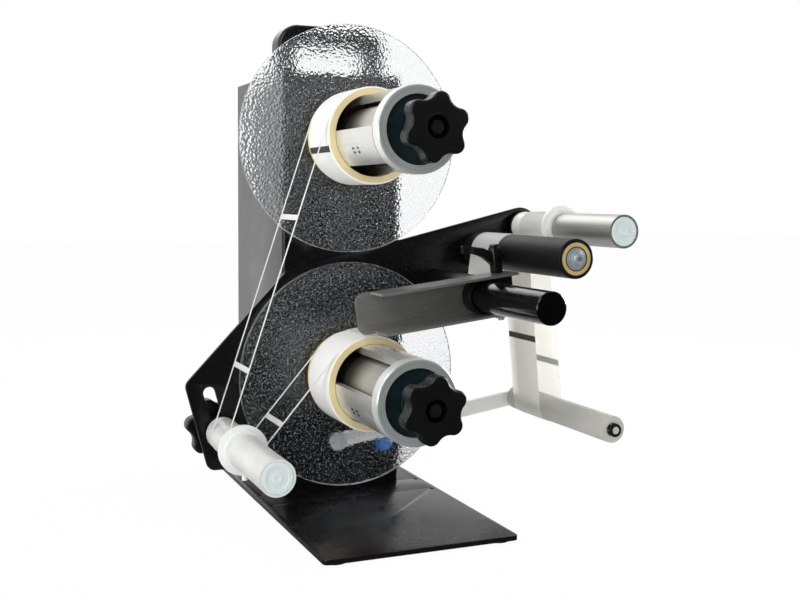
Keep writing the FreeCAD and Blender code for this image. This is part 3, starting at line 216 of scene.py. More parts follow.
class Finish:
    # a material under construction: its tree, its Principled shader and the Object coordinates

    def __init__(self, name, colour, rough, metal=0.0, **plain):
        self.material = bpy.data.materials.new(name)
        self.material.use_nodes = True
        self.tree = self.material.node_tree
        self.shader = self.tree.nodes["Principled BSDF"]
        self.colour = colour
        self.rough = rough
        self.normal = None
        self.shader.inputs["Base Color"].default_value = (*colour, 1.0)
        self.shader.inputs["Roughness"].default_value = rough
        self.shader.inputs["Metallic"].default_value = metal
        for socket, number in plain.items():
            self.shader.inputs[socket.replace("_", " ")].default_value = number
        self.place = addNode(self.tree, "ShaderNodeTexCoord").outputs["Object"]

    def centre(self, spot, turn=(0.0, 0.0, 0.0)):
        mapping = addNode(self.tree, "ShaderNodeMapping", {"Vector": self.place, "Location": spot,
                                                           "Rotation": turn}, vector_type="TEXTURE")
        self.place = mapping.outputs["Vector"]

    def effect(self, group, output, **inputs):
        node = addNode(self.tree, "ShaderNodeGroup", node_tree=group)
        if "Vector" in node.inputs:
            self.tree.links.new(self.place, node.inputs["Vector"])
        for name, number in inputs.items():
            node.inputs[name].default_value = number
        return node.outputs[output]

    def paint(self, mask, colour, share=1.0):
        current = self.shader.inputs["Base Color"]
        mix = addNode(self.tree, "ShaderNodeMix", data_type="RGBA")
        if current.is_linked:
            self.tree.links.new(current.links[0].from_socket, mix.inputs[6])
        else:
            mix.inputs[6].default_value = current.default_value
        mix.inputs[7].default_value = (*colour, 1.0)
        self.tree.links.new(mathNode(self.tree, "MULTIPLY", mask, share), mix.inputs[0])
        self.tree.links.new(mix.outputs[2], current)

    def roughen(self, mask, low, high):
        self.tree.links.new(mapValue(self.tree, mask, 0.0, 1.0, low, high), self.shader.inputs["Roughness"])

    def bump(self, height, distance, strength=1.0):
        node = addNode(self.tree, "ShaderNodeBump", {"Height": height, "Distance": distance,
                                                     "Strength": strength})
        if self.normal is not None:
            self.tree.links.new(self.normal, node.inputs["Normal"])
        self.normal = node.outputs["Normal"]
        self.tree.links.new(self.normal, self.shader.inputs["Normal"])

    def axis(self, name):
        return addNode(self.tree, "ShaderNodeSeparateXYZ", {"Vector": self.place}).outputs[name]


# Where the round pieces sit, read from the frame
def roundPlace(node):
    low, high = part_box(node)
    return {"x": (low.x + high.x) / 2, "z": (low.z + high.z) / 2, "radius": (high.x - low.x) / 2,
            "front": low.y, "back": high.y}


hubs = {level: roundPlace(f"{level}_disc") for level in levels}
leftRoller = roundPlace("left_roller")
topRoller = roundPlace("top_roller")
rubberRoller = roundPlace("rubber_roller")
dancerRoller = roundPlace("dancer_roller")
idler = roundPlace("idler_sleeve")
post = roundPlace("guide_post")


# Finishes for the black parts
def makePowderCoat():
    coat = Finish("powderCoat", (0.003, 0.003, 0.0031), 0.3, Specular_IOR_Level=0.36)
    coat.bump(coat.effect(fineGrain, "Height", Density=1400.0), 0.00005, 0.4)
    litEdges = coat.effect(edgeHighlight, "Mask", Reach=0.0005, Gain=3.0)
    coat.paint(coat.effect(fineGrain, "Shade", Density=500.0), (0.006, 0.006, 0.0062), 0.5)
    # painted highlight: light grey along the edges
    coat.paint(litEdges, (0.09, 0.09, 0.088), 0.7)
    coat.roughen(coat.effect(handling, "Mask", Spread=14.0), 0.24, 0.31)
    return coat.material


def makeBlackPlastic():
    plastic = Finish("blackPlastic", (0.0035, 0.0037, 0.0042), 0.36, Specular_IOR_Level=0.45)
    plastic.bump(plastic.effect(fineGrain, "Height", Density=2200.0), 0.00006, 0.45)
    plastic.roughen(plastic.effect(handling, "Mask", Spread=45.0), 0.3, 0.42)
    # painted highlight: dark grey along the edges
    plastic.paint(plastic.effect(edgeHighlight, "Mask", Reach=0.0004, Gain=2.0), (0.05, 0.05, 0.052), 0.5)
    return plastic.material


def makeGlossBlack():
    gloss = Finish("glossBlack", (0.0012, 0.0013, 0.0013), 0.1, Specular_IOR_Level=0.32)
    gloss.roughen(gloss.effect(handling, "Mask", Spread=60.0), 0.07, 0.16)
    return gloss.material


def makeBlackRubber():
    rubber = Finish("blackRubber", (0.007, 0.007, 0.0072), 0.45, Specular_IOR_Level=0.1)
    ground = rubber.effect(brushedLines, "Height", Run=(60.0, 1600.0, 60.0))
    rubber.bump(ground, 0.00012, 0.5)
    rubber.paint(rubber.effect(handling, "Mask", Spread=70.0), (0.013, 0.013, 0.013), 0.45)
    rubber.roughen(rubber.effect(fineGrain, "Shade", Density=700.0), 0.36, 0.5)
    return rubber.material


def makeScrewBlack():
    screw = Finish("blackScrew", (0.02, 0.02, 0.021), 0.36, metal=0.6)
    screw.roughen(screw.effect(fineGrain, "Shade", Density=1800.0), 0.28, 0.46)
    # painted highlight: grey along the screw heads' edges
    screw.paint(screw.effect(edgeHighlight, "Mask", Reach=0.0003, Gain=5.0), (0.2, 0.2, 0.2), 0.6)
    return screw.material


# Finishes for the metals
def makeBrushedMetal(name, colour, rough, run, dark=0.8, metal=1.0, centre=None, turn=(0.0, 0.0, 0.0)):
    metal = Finish(name, colour, rough, metal=metal)
    if centre:
        metal.centre(centre, turn)
    streak = metal.effect(brushedLines, "Streak", Run=run)
    metal.paint(streak, tuple(c * dark for c in colour), 0.8)
    metal.roughen(streak, rough - 0.06, rough + 0.09)
    metal.bump(metal.effect(brushedLines, "Height", Run=run), 0.00004, 0.6)
    metal.paint(metal.effect(handling, "Mask", Spread=34.0), tuple(c * 0.8 for c in colour), 0.25)
    return metal.material


def makeTurnedMetal(name, colour, rough, spot, pitch=0.0005, dark=0.82):
    metal = Finish(name, colour, rough, metal=0.6)
    metal.centre((spot["x"], 0.0, spot["z"]))
    line = metal.effect(turnedRings, "Line", Pitch=pitch)
    metal.paint(line, tuple(c * dark for c in colour), 0.7)
    metal.roughen(line, rough - 0.05, rough + 0.1)
    metal.bump(metal.effect(turnedRings, "Height", Pitch=pitch), 0.00005, 0.5)
    metal.paint(metal.effect(handling, "Mask", Spread=40.0), tuple(c * 0.8 for c in colour), 0.3)
    return metal.material


def makeRingMetal(level):
    ring = Finish(level + "Ring", (0.4, 0.44, 0.43), 0.3, metal=0.45)
    ring.centre((hubs[level]["x"], 0.0, hubs[level]["z"]))
    line = ring.effect(turnedRings, "Line", Pitch=0.0007)
    ring.paint(line, (0.42, 0.46, 0.455), 0.35)
    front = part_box(f"{level}_ring")[0].y
    # painted highlight: the ring's side behind its front face is painted near-white
    side = mapValue(ring.tree, ring.axis("Y"), front + 0.0006, front + 0.0012)
    ring.paint(side, (0.86, 0.87, 0.84), 1.0)
    # painted highlight: near-white along the ring's edges
    ring.paint(ring.effect(edgeHighlight, "Mask", Reach=0.0007, Gain=6.0), (0.9, 0.91, 0.9), 0.8)
    ring.roughen(line, 0.24, 0.38)
    ring.bump(ring.effect(turnedRings, "Height", Pitch=0.0007), 0.00003, 0.4)
    return ring.material


def makeDrumMetal(level):
    # painted shade: the drum's colour darkens towards the core, where the core shades it
    drum = Finish(level + "Drum", (0.7, 0.69, 0.65), 0.36, metal=0.75)
    streak = drum.effect(brushedLines, "Streak", Run=alongDepth)
    drum.paint(streak, (0.58, 0.57, 0.53), 0.7)
    paintedCoreShade = mapValue(drum.tree, drum.axis("Y"), -0.125, -0.088)
    drum.paint(paintedCoreShade, (0.05, 0.04, 0.025), 0.85)
    drum.roughen(streak, 0.3, 0.45)
    return drum.material


def makeTubeMetal(spot, painted):
    # satin tube with its root painted white, back from the depth given
    tube = Finish("tubeMetal", (0.47, 0.47, 0.445), 0.34)
    tube.centre((spot["x"], 0.0, spot["z"]))
    streak = tube.effect(brushedLines, "Streak", Run=(260.0, 6.0, 260.0))
    tube.paint(streak, (0.4, 0.4, 0.38), 0.7)
    root = mapValue(tube.tree, tube.axis("Y"), painted - 0.0005, painted)
    tube.paint(root, (0.84, 0.84, 0.82), 1.0)
    tube.tree.links.new(mapValue(tube.tree, root, 0.0, 1.0, 0.8, 0.0), tube.shader.inputs["Metallic"])
    tube.roughen(streak, 0.3, 0.42)
    tube.bump(tube.effect(brushedLines, "Height", Run=(260.0, 6.0, 260.0)), 0.00004, 0.6)
    return tube.material


def makeBushBrass():
    # bright lip, dark groove and zinc shield, turned about the rubber roller's axis
    bush = Finish("bushBrass", (0.42, 0.49, 0.53), 0.24, metal=0.45)
    bush.centre((rubberRoller["x"], 0.0, rubberRoller["z"]))
    apart = addNode(bush.tree, "ShaderNodeSeparateXYZ", {"Vector": bush.place}).outputs
    flat = addNode(bush.tree, "ShaderNodeCombineXYZ", {"X": apart["X"], "Z": apart["Z"]}).outputs["Vector"]
    radius = addNode(bush.tree, "ShaderNodeVectorMath", {0: flat}, operation="LENGTH").outputs["Value"]
    bush.paint(mapValue(bush.tree, radius, 0.0098, 0.0102), (0.06, 0.045, 0.02), 1.0)
    bush.paint(mapValue(bush.tree, radius, 0.0109, 0.0113), (0.8, 0.6, 0.24), 1.0)
    # painted highlight: pale brass along the edges
    bush.paint(bush.effect(edgeHighlight, "Mask", Reach=0.0005, Gain=6.0), (0.95, 0.86, 0.6), 0.8)
    bush.roughen(bush.effect(turnedRings, "Line", Pitch=0.0005), 0.16, 0.3)
    bush.bump(bush.effect(turnedRings, "Height", Pitch=0.0005), 0.00005, 0.5)
    return bush.material


def makeRingPlate(level):
    plate = Finish(level + "RingPlate", (0.003, 0.009, 0.011), 0.4, metal=0.2)
    plate.paint(plate.effect(handling, "Mask", Spread=150.0), (0.008, 0.026, 0.036), 0.6)
    plate.paint(plate.effect(fineGrain, "Shade", Density=600.0), (0.012, 0.035, 0.045), 0.3)
    plate.roughen(plate.effect(handling, "Mask", Spread=90.0), 0.3, 0.5)
    plate.bump(plate.effect(fineGrain, "Height", Density=500.0), 0.00012, 0.5)
    return plate.material


# Clear acrylic with a hammered face and a sawn matt rim
hammer = {"cell": 0.0025, "depth": 0.0008, "rim": 0.0008, "rimRough": 0.55, "speck": 430.0, "speckShare": 0.26}


def makeAcrylic(level):
    clear = Finish(level + "Acrylic", (0.97, 0.98, 0.985), 0.02, Transmission_Weight=1.0, IOR=1.52)
    clear.centre((hubs[level]["x"], 0.0, hubs[level]["z"]))
    tree = clear.tree
    low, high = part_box(f"{level}_disc")
    onFace = mapValue(tree, clear.axis("Y"), (low.y + high.y) / 2, low.y)
    cells = clear.effect(hammeredCells, "Height", Cell=hammer["cell"])
    clear.bump(mathNode(tree, "MULTIPLY", cells, onFace), hammer["depth"], 1.0)
    apart = addNode(tree, "ShaderNodeSeparateXYZ", {"Vector": clear.place}).outputs
    flat = addNode(tree, "ShaderNodeCombineXYZ", {"X": apart["X"], "Z": apart["Z"]}).outputs["Vector"]
    radius = addNode(tree, "ShaderNodeVectorMath", {0: flat}, operation="LENGTH").outputs["Value"]
    edge = hubs[level]["radius"]
    clear.roughen(mapValue(tree, radius, edge - hammer["rim"], edge), 0.02, hammer["rimRough"])
    grain = addNode(tree, "ShaderNodeTexNoise", {"Vector": flat, "Scale": hammer["speck"], "Detail": 2.0})
    speck = mapValue(tree, grain.outputs["Fac"], 0.53, 0.7, 0.0, hammer["speckShare"])
    facets = addNode(tree, "ShaderNodeBsdfDiffuse", {"Color": (0.78, 0.9, 1.0, 1.0)})
    frosted = addNode(tree, "ShaderNodeMixShader", {0: mathNode(tree, "MULTIPLY", speck, onFace),
                                                    1: clear.shader.outputs[0], 2: facets.outputs[0]})
    passing = addNode(tree, "ShaderNodeLightPath")
    shadow = addNode(tree, "ShaderNodeBsdfTransparent", {"Color": (0.86, 0.88, 0.88, 1.0)})
    mix = addNode(tree, "ShaderNodeMixShader", {0: passing.outputs["Is Shadow Ray"],
                                                1: frosted.outputs[0], 2: shadow.outputs[0]})
    tree.links.new(mix.outputs[0], tree.nodes["Material Output"].inputs["Surface"])
    return clear.material


# Paper, card and plastics
def makeCard(level):
    card = Finish(level + "Card", (0.74, 0.63, 0.34), 0.8)
    card.centre((hubs[level]["x"], 0.0, hubs[level]["z"]))
    card.paint(card.effect(turnedRings, "Line", Pitch=0.0006), (0.82, 0.72, 0.43), 0.6)
    card.paint(card.effect(handling, "Mask", Spread=90.0), (0.66, 0.52, 0.3), 0.35)
    card.bump(card.effect(turnedRings, "Height", Pitch=0.0006), 0.0002, 0.6)
    card.roughen(card.effect(fineGrain, "Shade", Density=800.0), 0.7, 0.9)
    return card.material


def makeRollPaper(level):
    paper = Finish(level + "RollPaper", (0.93, 0.93, 0.915), 0.55)
    paper.centre((hubs[level]["x"], 0.0, hubs[level]["z"]))
    paper.paint(paper.effect(turnedRings, "Line", Pitch=0.00022), (0.84, 0.83, 0.8), 0.4)
    paper.paint(paper.effect(handling, "Mask", Spread=60.0), (0.88, 0.875, 0.86), 0.4)
    paper.bump(paper.effect(turnedRings, "Height", Pitch=0.00022), 0.0001, 0.5)
    return paper.material


def makeLiner():
    liner = Finish("liner", (0.9, 0.9, 0.87), 0.42, Subsurface_Weight=0.1)
    liner.paint(liner.effect(fineGrain, "Shade", Density=260.0), (0.85, 0.85, 0.81), 0.4)
    liner.bump(liner.effect(handling, "Mask", Spread=30.0), 0.0004, 0.3)
    through = addNode(liner.tree, "ShaderNodeBsdfTranslucent", {"Color": (0.92, 0.92, 0.89, 1.0)})
    mix = addNode(liner.tree, "ShaderNodeMixShader", {0: 0.5, 1: liner.shader.outputs[0], 2: through.outputs[0]})
    liner.tree.links.new(mix.outputs[0], liner.tree.nodes["Material Output"].inputs["Surface"])
    return liner.material


def makeInk(name, colour):
    ink = Finish(name, colour, 0.55)
    ink.paint(ink.effect(fineGrain, "Shade", Density=1500.0), tuple(c * 1.8 for c in colour), 0.5)
    return ink.material


def makeMilky(name, colour, rough, spot):
    milky = Finish(name, colour, rough, Subsurface_Weight=0.12, Coat_Weight=0.1)
    milky.centre((spot["x"], 0.0, spot["z"]))
    milky.paint(milky.effect(turnedRings, "Line", Pitch=0.0011), tuple(c * 0.94 for c in colour), 0.6)
    milky.bump(milky.effect(turnedRings, "Height", Pitch=0.0011), 0.00015, 0.4)
    milky.roughen(milky.effect(handling, "Mask", Spread=80.0), rough - 0.06, rough + 0.12)
    return milky.material


def makePlain(name, colour, rough, metal=0.0, density=900.0, depth=0.00008):
    plain = Finish(name, colour, rough, metal=metal)
    plain.bump(plain.effect(fineGrain, "Height", Density=density), depth, 0.5)
    plain.paint(plain.effect(handling, "Mask", Spread=40.0), tuple(c * 0.7 for c in colour), 0.5)
    plain.roughen(plain.effect(fineGrain, "Shade", Density=density / 2), rough - 0.06, rough + 0.1)
    return plain.material


powderCoat = makePowderCoat()
blackPlastic = makeBlackPlastic()
glossBlack = makeGlossBlack()
blackRubber = makeBlackRubber()
screwBlack = makeScrewBlack()
alongDepth = (700.0, 9.0, 700.0)
alongArm = (9.0, 500.0, 700.0)
milledAluminium = makeBrushedMetal("milledAluminium", (0.92, 0.92, 0.89), 0.31, alongDepth, dark=0.84,
                                   metal=0.8)
spindleSteel = makePlain("spindleSteel", (0.5, 0.51, 0.52), 0.3, metal=0.6, density=700.0, depth=0.00003)
pinSteel = makePlain("pinSteel", (0.7, 0.71, 0.7), 0.32, metal=0.4, density=700.0, depth=0.00003)
spindleDark = makePlain("spindleDark", (0.03, 0.032, 0.033), 0.3, metal=0.8, density=700.0, depth=0.00003)
rollerWhite = makePlain("rollerWhite", (0.74, 0.745, 0.72), 0.34, metal=0.15, density=500.0, depth=0.00004)
armSteel = makeBrushedMetal("armSteel", (0.93, 0.94, 0.91), 0.34, alongArm, dark=0.94, metal=0.12)
channelTilt = math.radians(7)
channelSteel = makeBrushedMetal("channelSteel", (0.34, 0.34, 0.315), 0.3, (5.0, 420.0, 420.0), dark=0.72, metal=0.65,
                                centre=(post["x"], 0.0, post["z"]), turn=(0.0, -channelTilt, 0.0))
zincPlate = makeTurnedMetal("zincPlate", (0.56, 0.63, 0.68), 0.24, rubberRoller)
bearingSteel = makePlain("bearingSteel", (0.6, 0.61, 0.62), 0.3, metal=1.0)
motorZinc = makePlain("motorZinc", (0.5, 0.51, 0.53), 0.38, metal=1.0)
beltRubber = makePlain("beltRubber", (0.02, 0.02, 0.02), 0.7, depth=0.0002)
boardGreen = makePlain("boardGreen", (0.02, 0.16, 0.07), 0.45)
bumperBlue = makePlain("bumperBlue", (0.05, 0.2, 0.62), 0.5)
dancerSleeve = makePlain("dancerSleeve", (0.52, 0.51, 0.47), 0.5, density=500.0)
footRubber = makePlain("footRubber", (0.02, 0.02, 0.02), 0.8, density=600.0, depth=0.0003)
liner = makeLiner()
darkInk = makeInk("darkInk", (0.03, 0.028, 0.026))
greyInk = makeInk("greyInk", (0.4, 0.39, 0.36))
collarWhite = makeMilky("collarWhite", (0.82, 0.83, 0.8), 0.4, leftRoller)
print("finishes made:", len(bpy.data.materials))

finishes = {
    "base_plate": powderCoat, "column_housing": powderCoat, "rear_cover": powderCoat, "wing_plate": powderCoat,
    "rubber_feet": footRubber, "cover_screws": screwBlack, "frame_screws": screwBlack,
    "carry_handle": blackPlastic, "carriage_knob": blackPlastic, "angle_sensor": blackPlastic,
    "post_stop": glossBlack, "clamp_block": blackPlastic, "clamp_lever": blackPlastic,
    "power_entry": blackPlastic, "power_rocker": blackPlastic, "control_board": boardGreen,
    "slot_carriage": spindleSteel, "left_roller": rollerWhite, "top_axle": glossBlack,
    "top_roller": makeTubeMetal(topRoller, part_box("label_web")[1].y), "left_collar": collarWhite, "top_collar": collarWhite,
    "rubber_axle": zincPlate, "rubber_roller": blackRubber, "roller_bushes": makeBushBrass(),
    "dancer_arm": armSteel, "dancer_pins": pinSteel, "dancer_roller": dancerSleeve,
    "arm_bumper": bumperBlue, "guide_post": glossBlack, "idler_sleeve": blackPlastic,
    "swing_channel": channelSteel, "bearing_blocks": milledAluminium, "ball_bearings": bearingSteel,
    "drive_motor": motorZinc, "motor_bracket": powderCoat, "motor_pulley": milledAluminium,
    "drive_belts": beltRubber, "label_web": liner, "ladder_web": liner,
}
for level in levels:
    finishes[f"{level}_spindle"] = spindleDark
    finishes[f"{level}_disc"] = makeAcrylic(level)
    finishes[f"{level}_drum"] = makeDrumMetal(level)
    finishes[f"{level}_core"] = makeCard(level)
    finishes[f"{level}_roll"] = makeRollPaper(level)
    finishes[f"{level}_ring"] = makeRingMetal(level)
    finishes[f"{level}_knob"] = blackPlastic
    for index in (1, 2, 3):
        finishes[f"{level}_segment_{index}"] = milledAluminium
for node, finish in finishes.items():
    cad[node].material_slots[0].material = finish


# Modelling helpers
def applyModifier(piece, kind, **settings):
    modifier = piece.modifiers.new(kind.title(), kind)
    for name, setting in settings.items():
        setattr(modifier, name, setting)
    bpy.context.view_layer.objects.active = piece
    bpy.ops.object.modifier_apply(modifier=modifier.name)


def editMode(on):
    bpy.ops.object.mode_set(mode="EDIT" if on else "OBJECT")


def settle(piece, name):
    bpy.ops.object.transform_apply(location=True, rotation=True, scale=True)
    piece.name = name
    piece.data.name = name
    return piece


def finishPiece(piece, body, slot, finish, *replaced, soften=None):
    if soften:
        applyModifier(piece, "BEVEL", width=soften, segments=2, limit_method="ANGLE",
                      angle_limit=math.radians(35), use_clamp_overlap=False)
    bpy.ops.object.select_all(action="DESELECT")
    piece.select_set(True)
    bpy.context.view_layer.objects.active = piece
    bpy.ops.object.shade_smooth_by_angle(angle=math.radians(32))
    piece.data.materials.clear()
    piece.data.materials.append(finish)
    if body:
        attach(piece, body)
    if replaced:
        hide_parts(*replaced)
    piece.select_set(False)
    return piece


def lathe(name, spot, profile, sides=72):
    # spun by hand round an axis along Y: profile is (radius, depth), closed if its ends meet
    radius, depth = profile[0]
    bpy.ops.mesh.primitive_circle_add(vertices=sides, radius=radius, rotation=(math.pi / 2, 0, 0),
                                      location=(spot["x"], depth, spot["z"]))
    piece = settle(bpy.context.object, name)
    editMode(True)
    for (r0, y0), (r1, y1) in zip(profile, profile[1:]):
        bpy.ops.mesh.extrude_edges_move(TRANSFORM_OT_translate={"value": (0, y1 - y0, 0)})
        bpy.ops.transform.resize(value=(r1 / r0, 1, r1 / r0), center_override=(spot["x"], y1, spot["z"]))
    bpy.ops.mesh.select_all(action="SELECT")
    bpy.ops.mesh.remove_doubles(threshold=1e-6)
    bpy.ops.mesh.fill_holes(sides=0)
    bpy.ops.mesh.normals_make_consistent(inside=False)
    bpy.ops.mesh.select_all(action="DESELECT")
    editMode(False)
    return piece


def cutHexagon(piece, radius, deep, place, turn=(math.pi / 2, 0, 0)):
    bpy.ops.mesh.primitive_cylinder_add(vertices=6, radius=radius, depth=2 * deep, location=place, rotation=turn)
    cutter = bpy.context.object
    bpy.ops.object.transform_apply(location=True, rotation=True, scale=True)
    applyModifier(piece, "BOOLEAN", operation="DIFFERENCE", object=cutter, solver="EXACT")
    bpy.data.objects.remove(cutter)
    return piece


def copyPiece(piece, name, matrix):
    twin = piece.copy()
    twin.data = piece.data.copy()
    bpy.context.scene.collection.objects.link(twin)
    twin.name = name
    twin.data.name = name
    twin.data.transform(matrix)
    return twin


def joinPieces(pieces, name):
    bpy.ops.object.select_all(action="DESELECT")
    for piece in pieces:
        piece.select_set(True)
    bpy.context.view_layer.objects.active = pieces[0]
    bpy.ops.object.join()
    pieces[0].name = name
    pieces[0].data.name = name
    pieces[0].select_set(False)
    return pieces[0]


# Sheet metal and mouldings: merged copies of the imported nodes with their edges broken
softEdges = {
    "base_plate": 0.0005, "wing_plate": 0.0005, "column_housing": 0.0004, "rear_cover": 0.0004,
    "swing_channel": 0.0003, "dancer_arm": 0.0005, "clamp_block": 0.0006, "power_entry": 0.0004,
    "power_rocker": 0.0004, "carry_handle": 0.0042,
}


def breakEdges(node, width):
    source = cad[node]
    piece = source.copy()
    piece.data = source.data.copy()
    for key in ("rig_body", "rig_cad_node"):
        del piece[key]
    piece.parent = None
    bpy.context.scene.collection.objects.link(piece)
    words = node.split("_")
    piece.name = words[0] + "".join(word.title() for word in words[1:])
    piece.data.name = piece.name
    bpy.context.view_layer.objects.active = piece
    piece.select_set(True)
    editMode(True)
    bpy.ops.mesh.customdata_custom_splitnormals_clear()
    bpy.ops.mesh.select_all(action="SELECT")
    bpy.ops.mesh.remove_doubles(threshold=1e-6)
    bpy.ops.mesh.dissolve_limited(angle_limit=math.radians(0.2))
    bpy.ops.mesh.select_all(action="DESELECT")
    editMode(False)
    segments = 5 if width > 0.002 else 2
    applyModifier(piece, "BEVEL", width=width, segments=segments, limit_method="ANGLE",
                  angle_limit=math.radians(35), use_clamp_overlap=False)
    finishPiece(piece, bodyOf[node], nodeSlots[node], finishes[node], node)


nodeSlots = {"base_plate": "powder_coat", "wing_plate": "powder_coat", "column_housing": "powder_coat",
             "rear_cover": "powder_coat", "swing_channel": "channel_steel", "dancer_arm": "arm_steel",
             "clamp_block": "black_plastic", "power_entry": "black_plastic", "power_rocker": "black_plastic",
             "carry_handle": "black_plastic"}
for node, width in softEdges.items():
    breakEdges(node, width)
print("edges broken on", len(softEdges), "nodes")


# Socket screws, each modelled facing up and turned into place
screwForm = {"height": 0.6, "socket": 0.52, "deep": 0.55}


def makeScrews(node, name, heads):
    pieces = []
    for number, (spot, facing, radius, tall) in enumerate(heads):
        bpy.ops.mesh.primitive_cylinder_add(vertices=40, radius=radius, depth=tall, location=(0, 0, tall / 2))
        head = settle(bpy.context.object, f"{name}{number}")
        cutHexagon(head, radius * screwForm["socket"], tall * screwForm["deep"], (0, 0, tall), (0, 0, 0))
        applyModifier(head, "BEVEL", width=tall * 0.16, segments=3, limit_method="ANGLE",
                      angle_limit=math.radians(50), use_clamp_overlap=True)
        turn = Vector(facing).to_track_quat("Z", "Y").to_matrix().to_4x4()
        head.data.transform(Matrix.Translation(spot) @ turn)
        pieces.append(head)
    whole = joinPieces(pieces, name)
    return finishPiece(whole, "root", "screw_steel", screwBlack, node)


def solidSpots(node):
    # the middle and size of each separate solid of a node
    twin = copyPiece(cad[node], node + "Spots", Matrix.Identity(4))
    bpy.ops.object.select_all(action="DESELECT")
    twin.select_set(True)
    bpy.context.view_layer.objects.active = twin
    editMode(True)
    bpy.ops.mesh.select_all(action="SELECT")
    bpy.ops.mesh.remove_doubles(threshold=1e-6)
    bpy.ops.mesh.separate(type="LOOSE")
    editMode(False)
    spots = []
    for part in list(bpy.context.selected_objects):
        points = [v.co for v in part.data.vertices]
        low = Vector(min(p[i] for p in points) for i in range(3))
        high = Vector(max(p[i] for p in points) for i in range(3))
        spots.append((low, high))
        bpy.data.objects.remove(part)
    return spots


def headList(node):
    heads = []
    for low, high in solidSpots(node):
        size = high - low
        middle = (low + high) / 2
        if size.z < size.x - 0.001:
            heads.append((Vector((middle.x, middle.y, low.z)), (0, 0, 1), size.x / 2, size.z))
        elif middle.y > 0:
            heads.append((Vector((middle.x, low.y, middle.z)), (0, 1, 0), size.x / 2, size.y))
        else:
            heads.append((Vector((middle.x, high.y, middle.z)), (0, -1, 0), size.x / 2, size.y))
    return heads


makeScrews("cover_screws", "coverScrews", headList("cover_screws"))
makeScrews("frame_screws", "frameScrews", headList("frame_screws"))
print("screws made")

# Front rings: a dark mottled plate pressed into each recess
ringPlate = {"thick": 0.0006, "inside": 0.0135, "outside": 0.03, "dish": 0.0004}
ringRecess = 0.004


def makeRingPlates():
    for level in levels:
        spot = roundPlace(f"{level}_ring")
        floor = spot["front"] + ringRecess
        top = floor - ringPlate["thick"]
        inside, outside = ringPlate["inside"], ringPlate["outside"]
        profile = [(inside, floor), (inside, top), (inside + 0.004, top - ringPlate["dish"]),
                   (outside - 0.002, top - ringPlate["dish"]), (outside, top), (outside, floor), (inside, floor)]
        piece = lathe(level + "RingPlate", spot, profile, 96)
        finishPiece(piece, f"{level}_ring", "ring_aluminium", makeRingPlate(level))


makeRingPlates()

# Segment screws: two small slotted heads sunk in each expanding segment
segmentScrew = {"radius": 0.0033, "proud": 0.0001, "depths": (0.1235, 0.1345), "start": 85.0}


def makeSegmentScrews():
    for level in levels:
        hub = hubs[level]
        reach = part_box(f"{level}_ring")[1].x - 0.0001
        for index in range(3):
            pieces = []
            angle = math.radians(segmentScrew["start"] + 120 * index)
            for number, depth in enumerate(segmentScrew["depths"]):
                bpy.ops.mesh.primitive_cylinder_add(vertices=28, radius=segmentScrew["radius"], depth=0.0012,
                                                    location=(0, 0, -0.0006 + segmentScrew["proud"]))
                head = settle(bpy.context.object, f"{level}SegmentScrew{index}{number}")
                cutHexagon(head, 0.0016, 0.0009, (0, 0, segmentScrew["proud"]), (0, 0, 0))
                out = Vector((math.cos(angle), 0, math.sin(angle)))
                turn = out.to_track_quat("Z", "Y").to_matrix().to_4x4()
                place = Vector((hub["x"], -depth, hub["z"])) + out * reach
                head.data.transform(Matrix.Translation(place) @ turn)
                pieces.append(head)
            whole = joinPieces(pieces, f"{level}SegmentScrews{index + 1}")
            finishPiece(whole, f"{level}_segment_{index + 1}", "screw_steel", glossBlack)


makeSegmentScrews()
print("rings and segments dressed")

# Milky plugs in the ends of the two guide tubes
plugForm = {"rim": 0.0134, "step": 0.0085, "eye": 0.0045}


def makePlugs():
    for name, body, spot in (("leftPlug", "left_roller", leftRoller), ("topPlug", "top_roller", topRoller)):
        front = spot["front"]
        rim, step, eye = plugForm["rim"], plugForm["step"], plugForm["eye"]
        profile = [(rim, front + 0.0007), (rim, front + 0.0001), (rim - 0.0006, front - 0.0004),
                   (step + 0.0012, front - 0.0004), (step + 0.0004, front + 0.0002), (step, front + 0.0002),
                   (eye + 0.0006, front + 0.0002), (eye, front - 0.0003), (eye * 0.4, front - 0.0003),
                   (eye * 0.3, front + 0.0001), (0.0006, front + 0.0001)]
        piece = lathe(name, spot, profile)
        milky = makeMilky(name, (0.66, 0.71, 0.69), 0.26, spot)
        finishPiece(piece, body, "roller_steel", milky, soften=0.0001)


makePlugs()

# Rubber roller's axle with its spring washer and cap screw
capForm = {"spacer": 0.013, "axle": 0.0057, "washer": 0.0085, "washerThick": 0.0013, "head": 0.005,
           "headThick": 0.005, "socket": 0.0026}


def makeRubberAxle():
    low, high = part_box("rubber_axle")
    roller = rubberRoller
    back = high.y
    tip = low.y
    shoulder = roller["back"] + 0.0003
    face = tip + capForm["headThick"] + capForm["washerThick"]
    washer = tip + capForm["headThick"]
    profile = [(capForm["spacer"], back), (capForm["spacer"], shoulder), (capForm["axle"], shoulder),
               (capForm["axle"], face), (capForm["washer"], face), (capForm["washer"], washer),
               (capForm["head"] + 0.0012, washer), (capForm["head"] + 0.0012, washer - 0.0012),
               (capForm["head"], washer - 0.0012), (capForm["head"], tip)]
    axle = lathe("rubberAxle", roller, profile)
    cutHexagon(axle, capForm["socket"], 0.0028, (roller["x"], tip, roller["z"]))
    finishPiece(axle, "root", "zinc_steel", zincPlate, "rubber_axle", soften=0.00035)


makeRubberAxle()

# Dancer roller's black ring round the flanks of its nut
sealForm = {"outside": 0.0062, "inside": 0.0034, "proud": 0.0003}


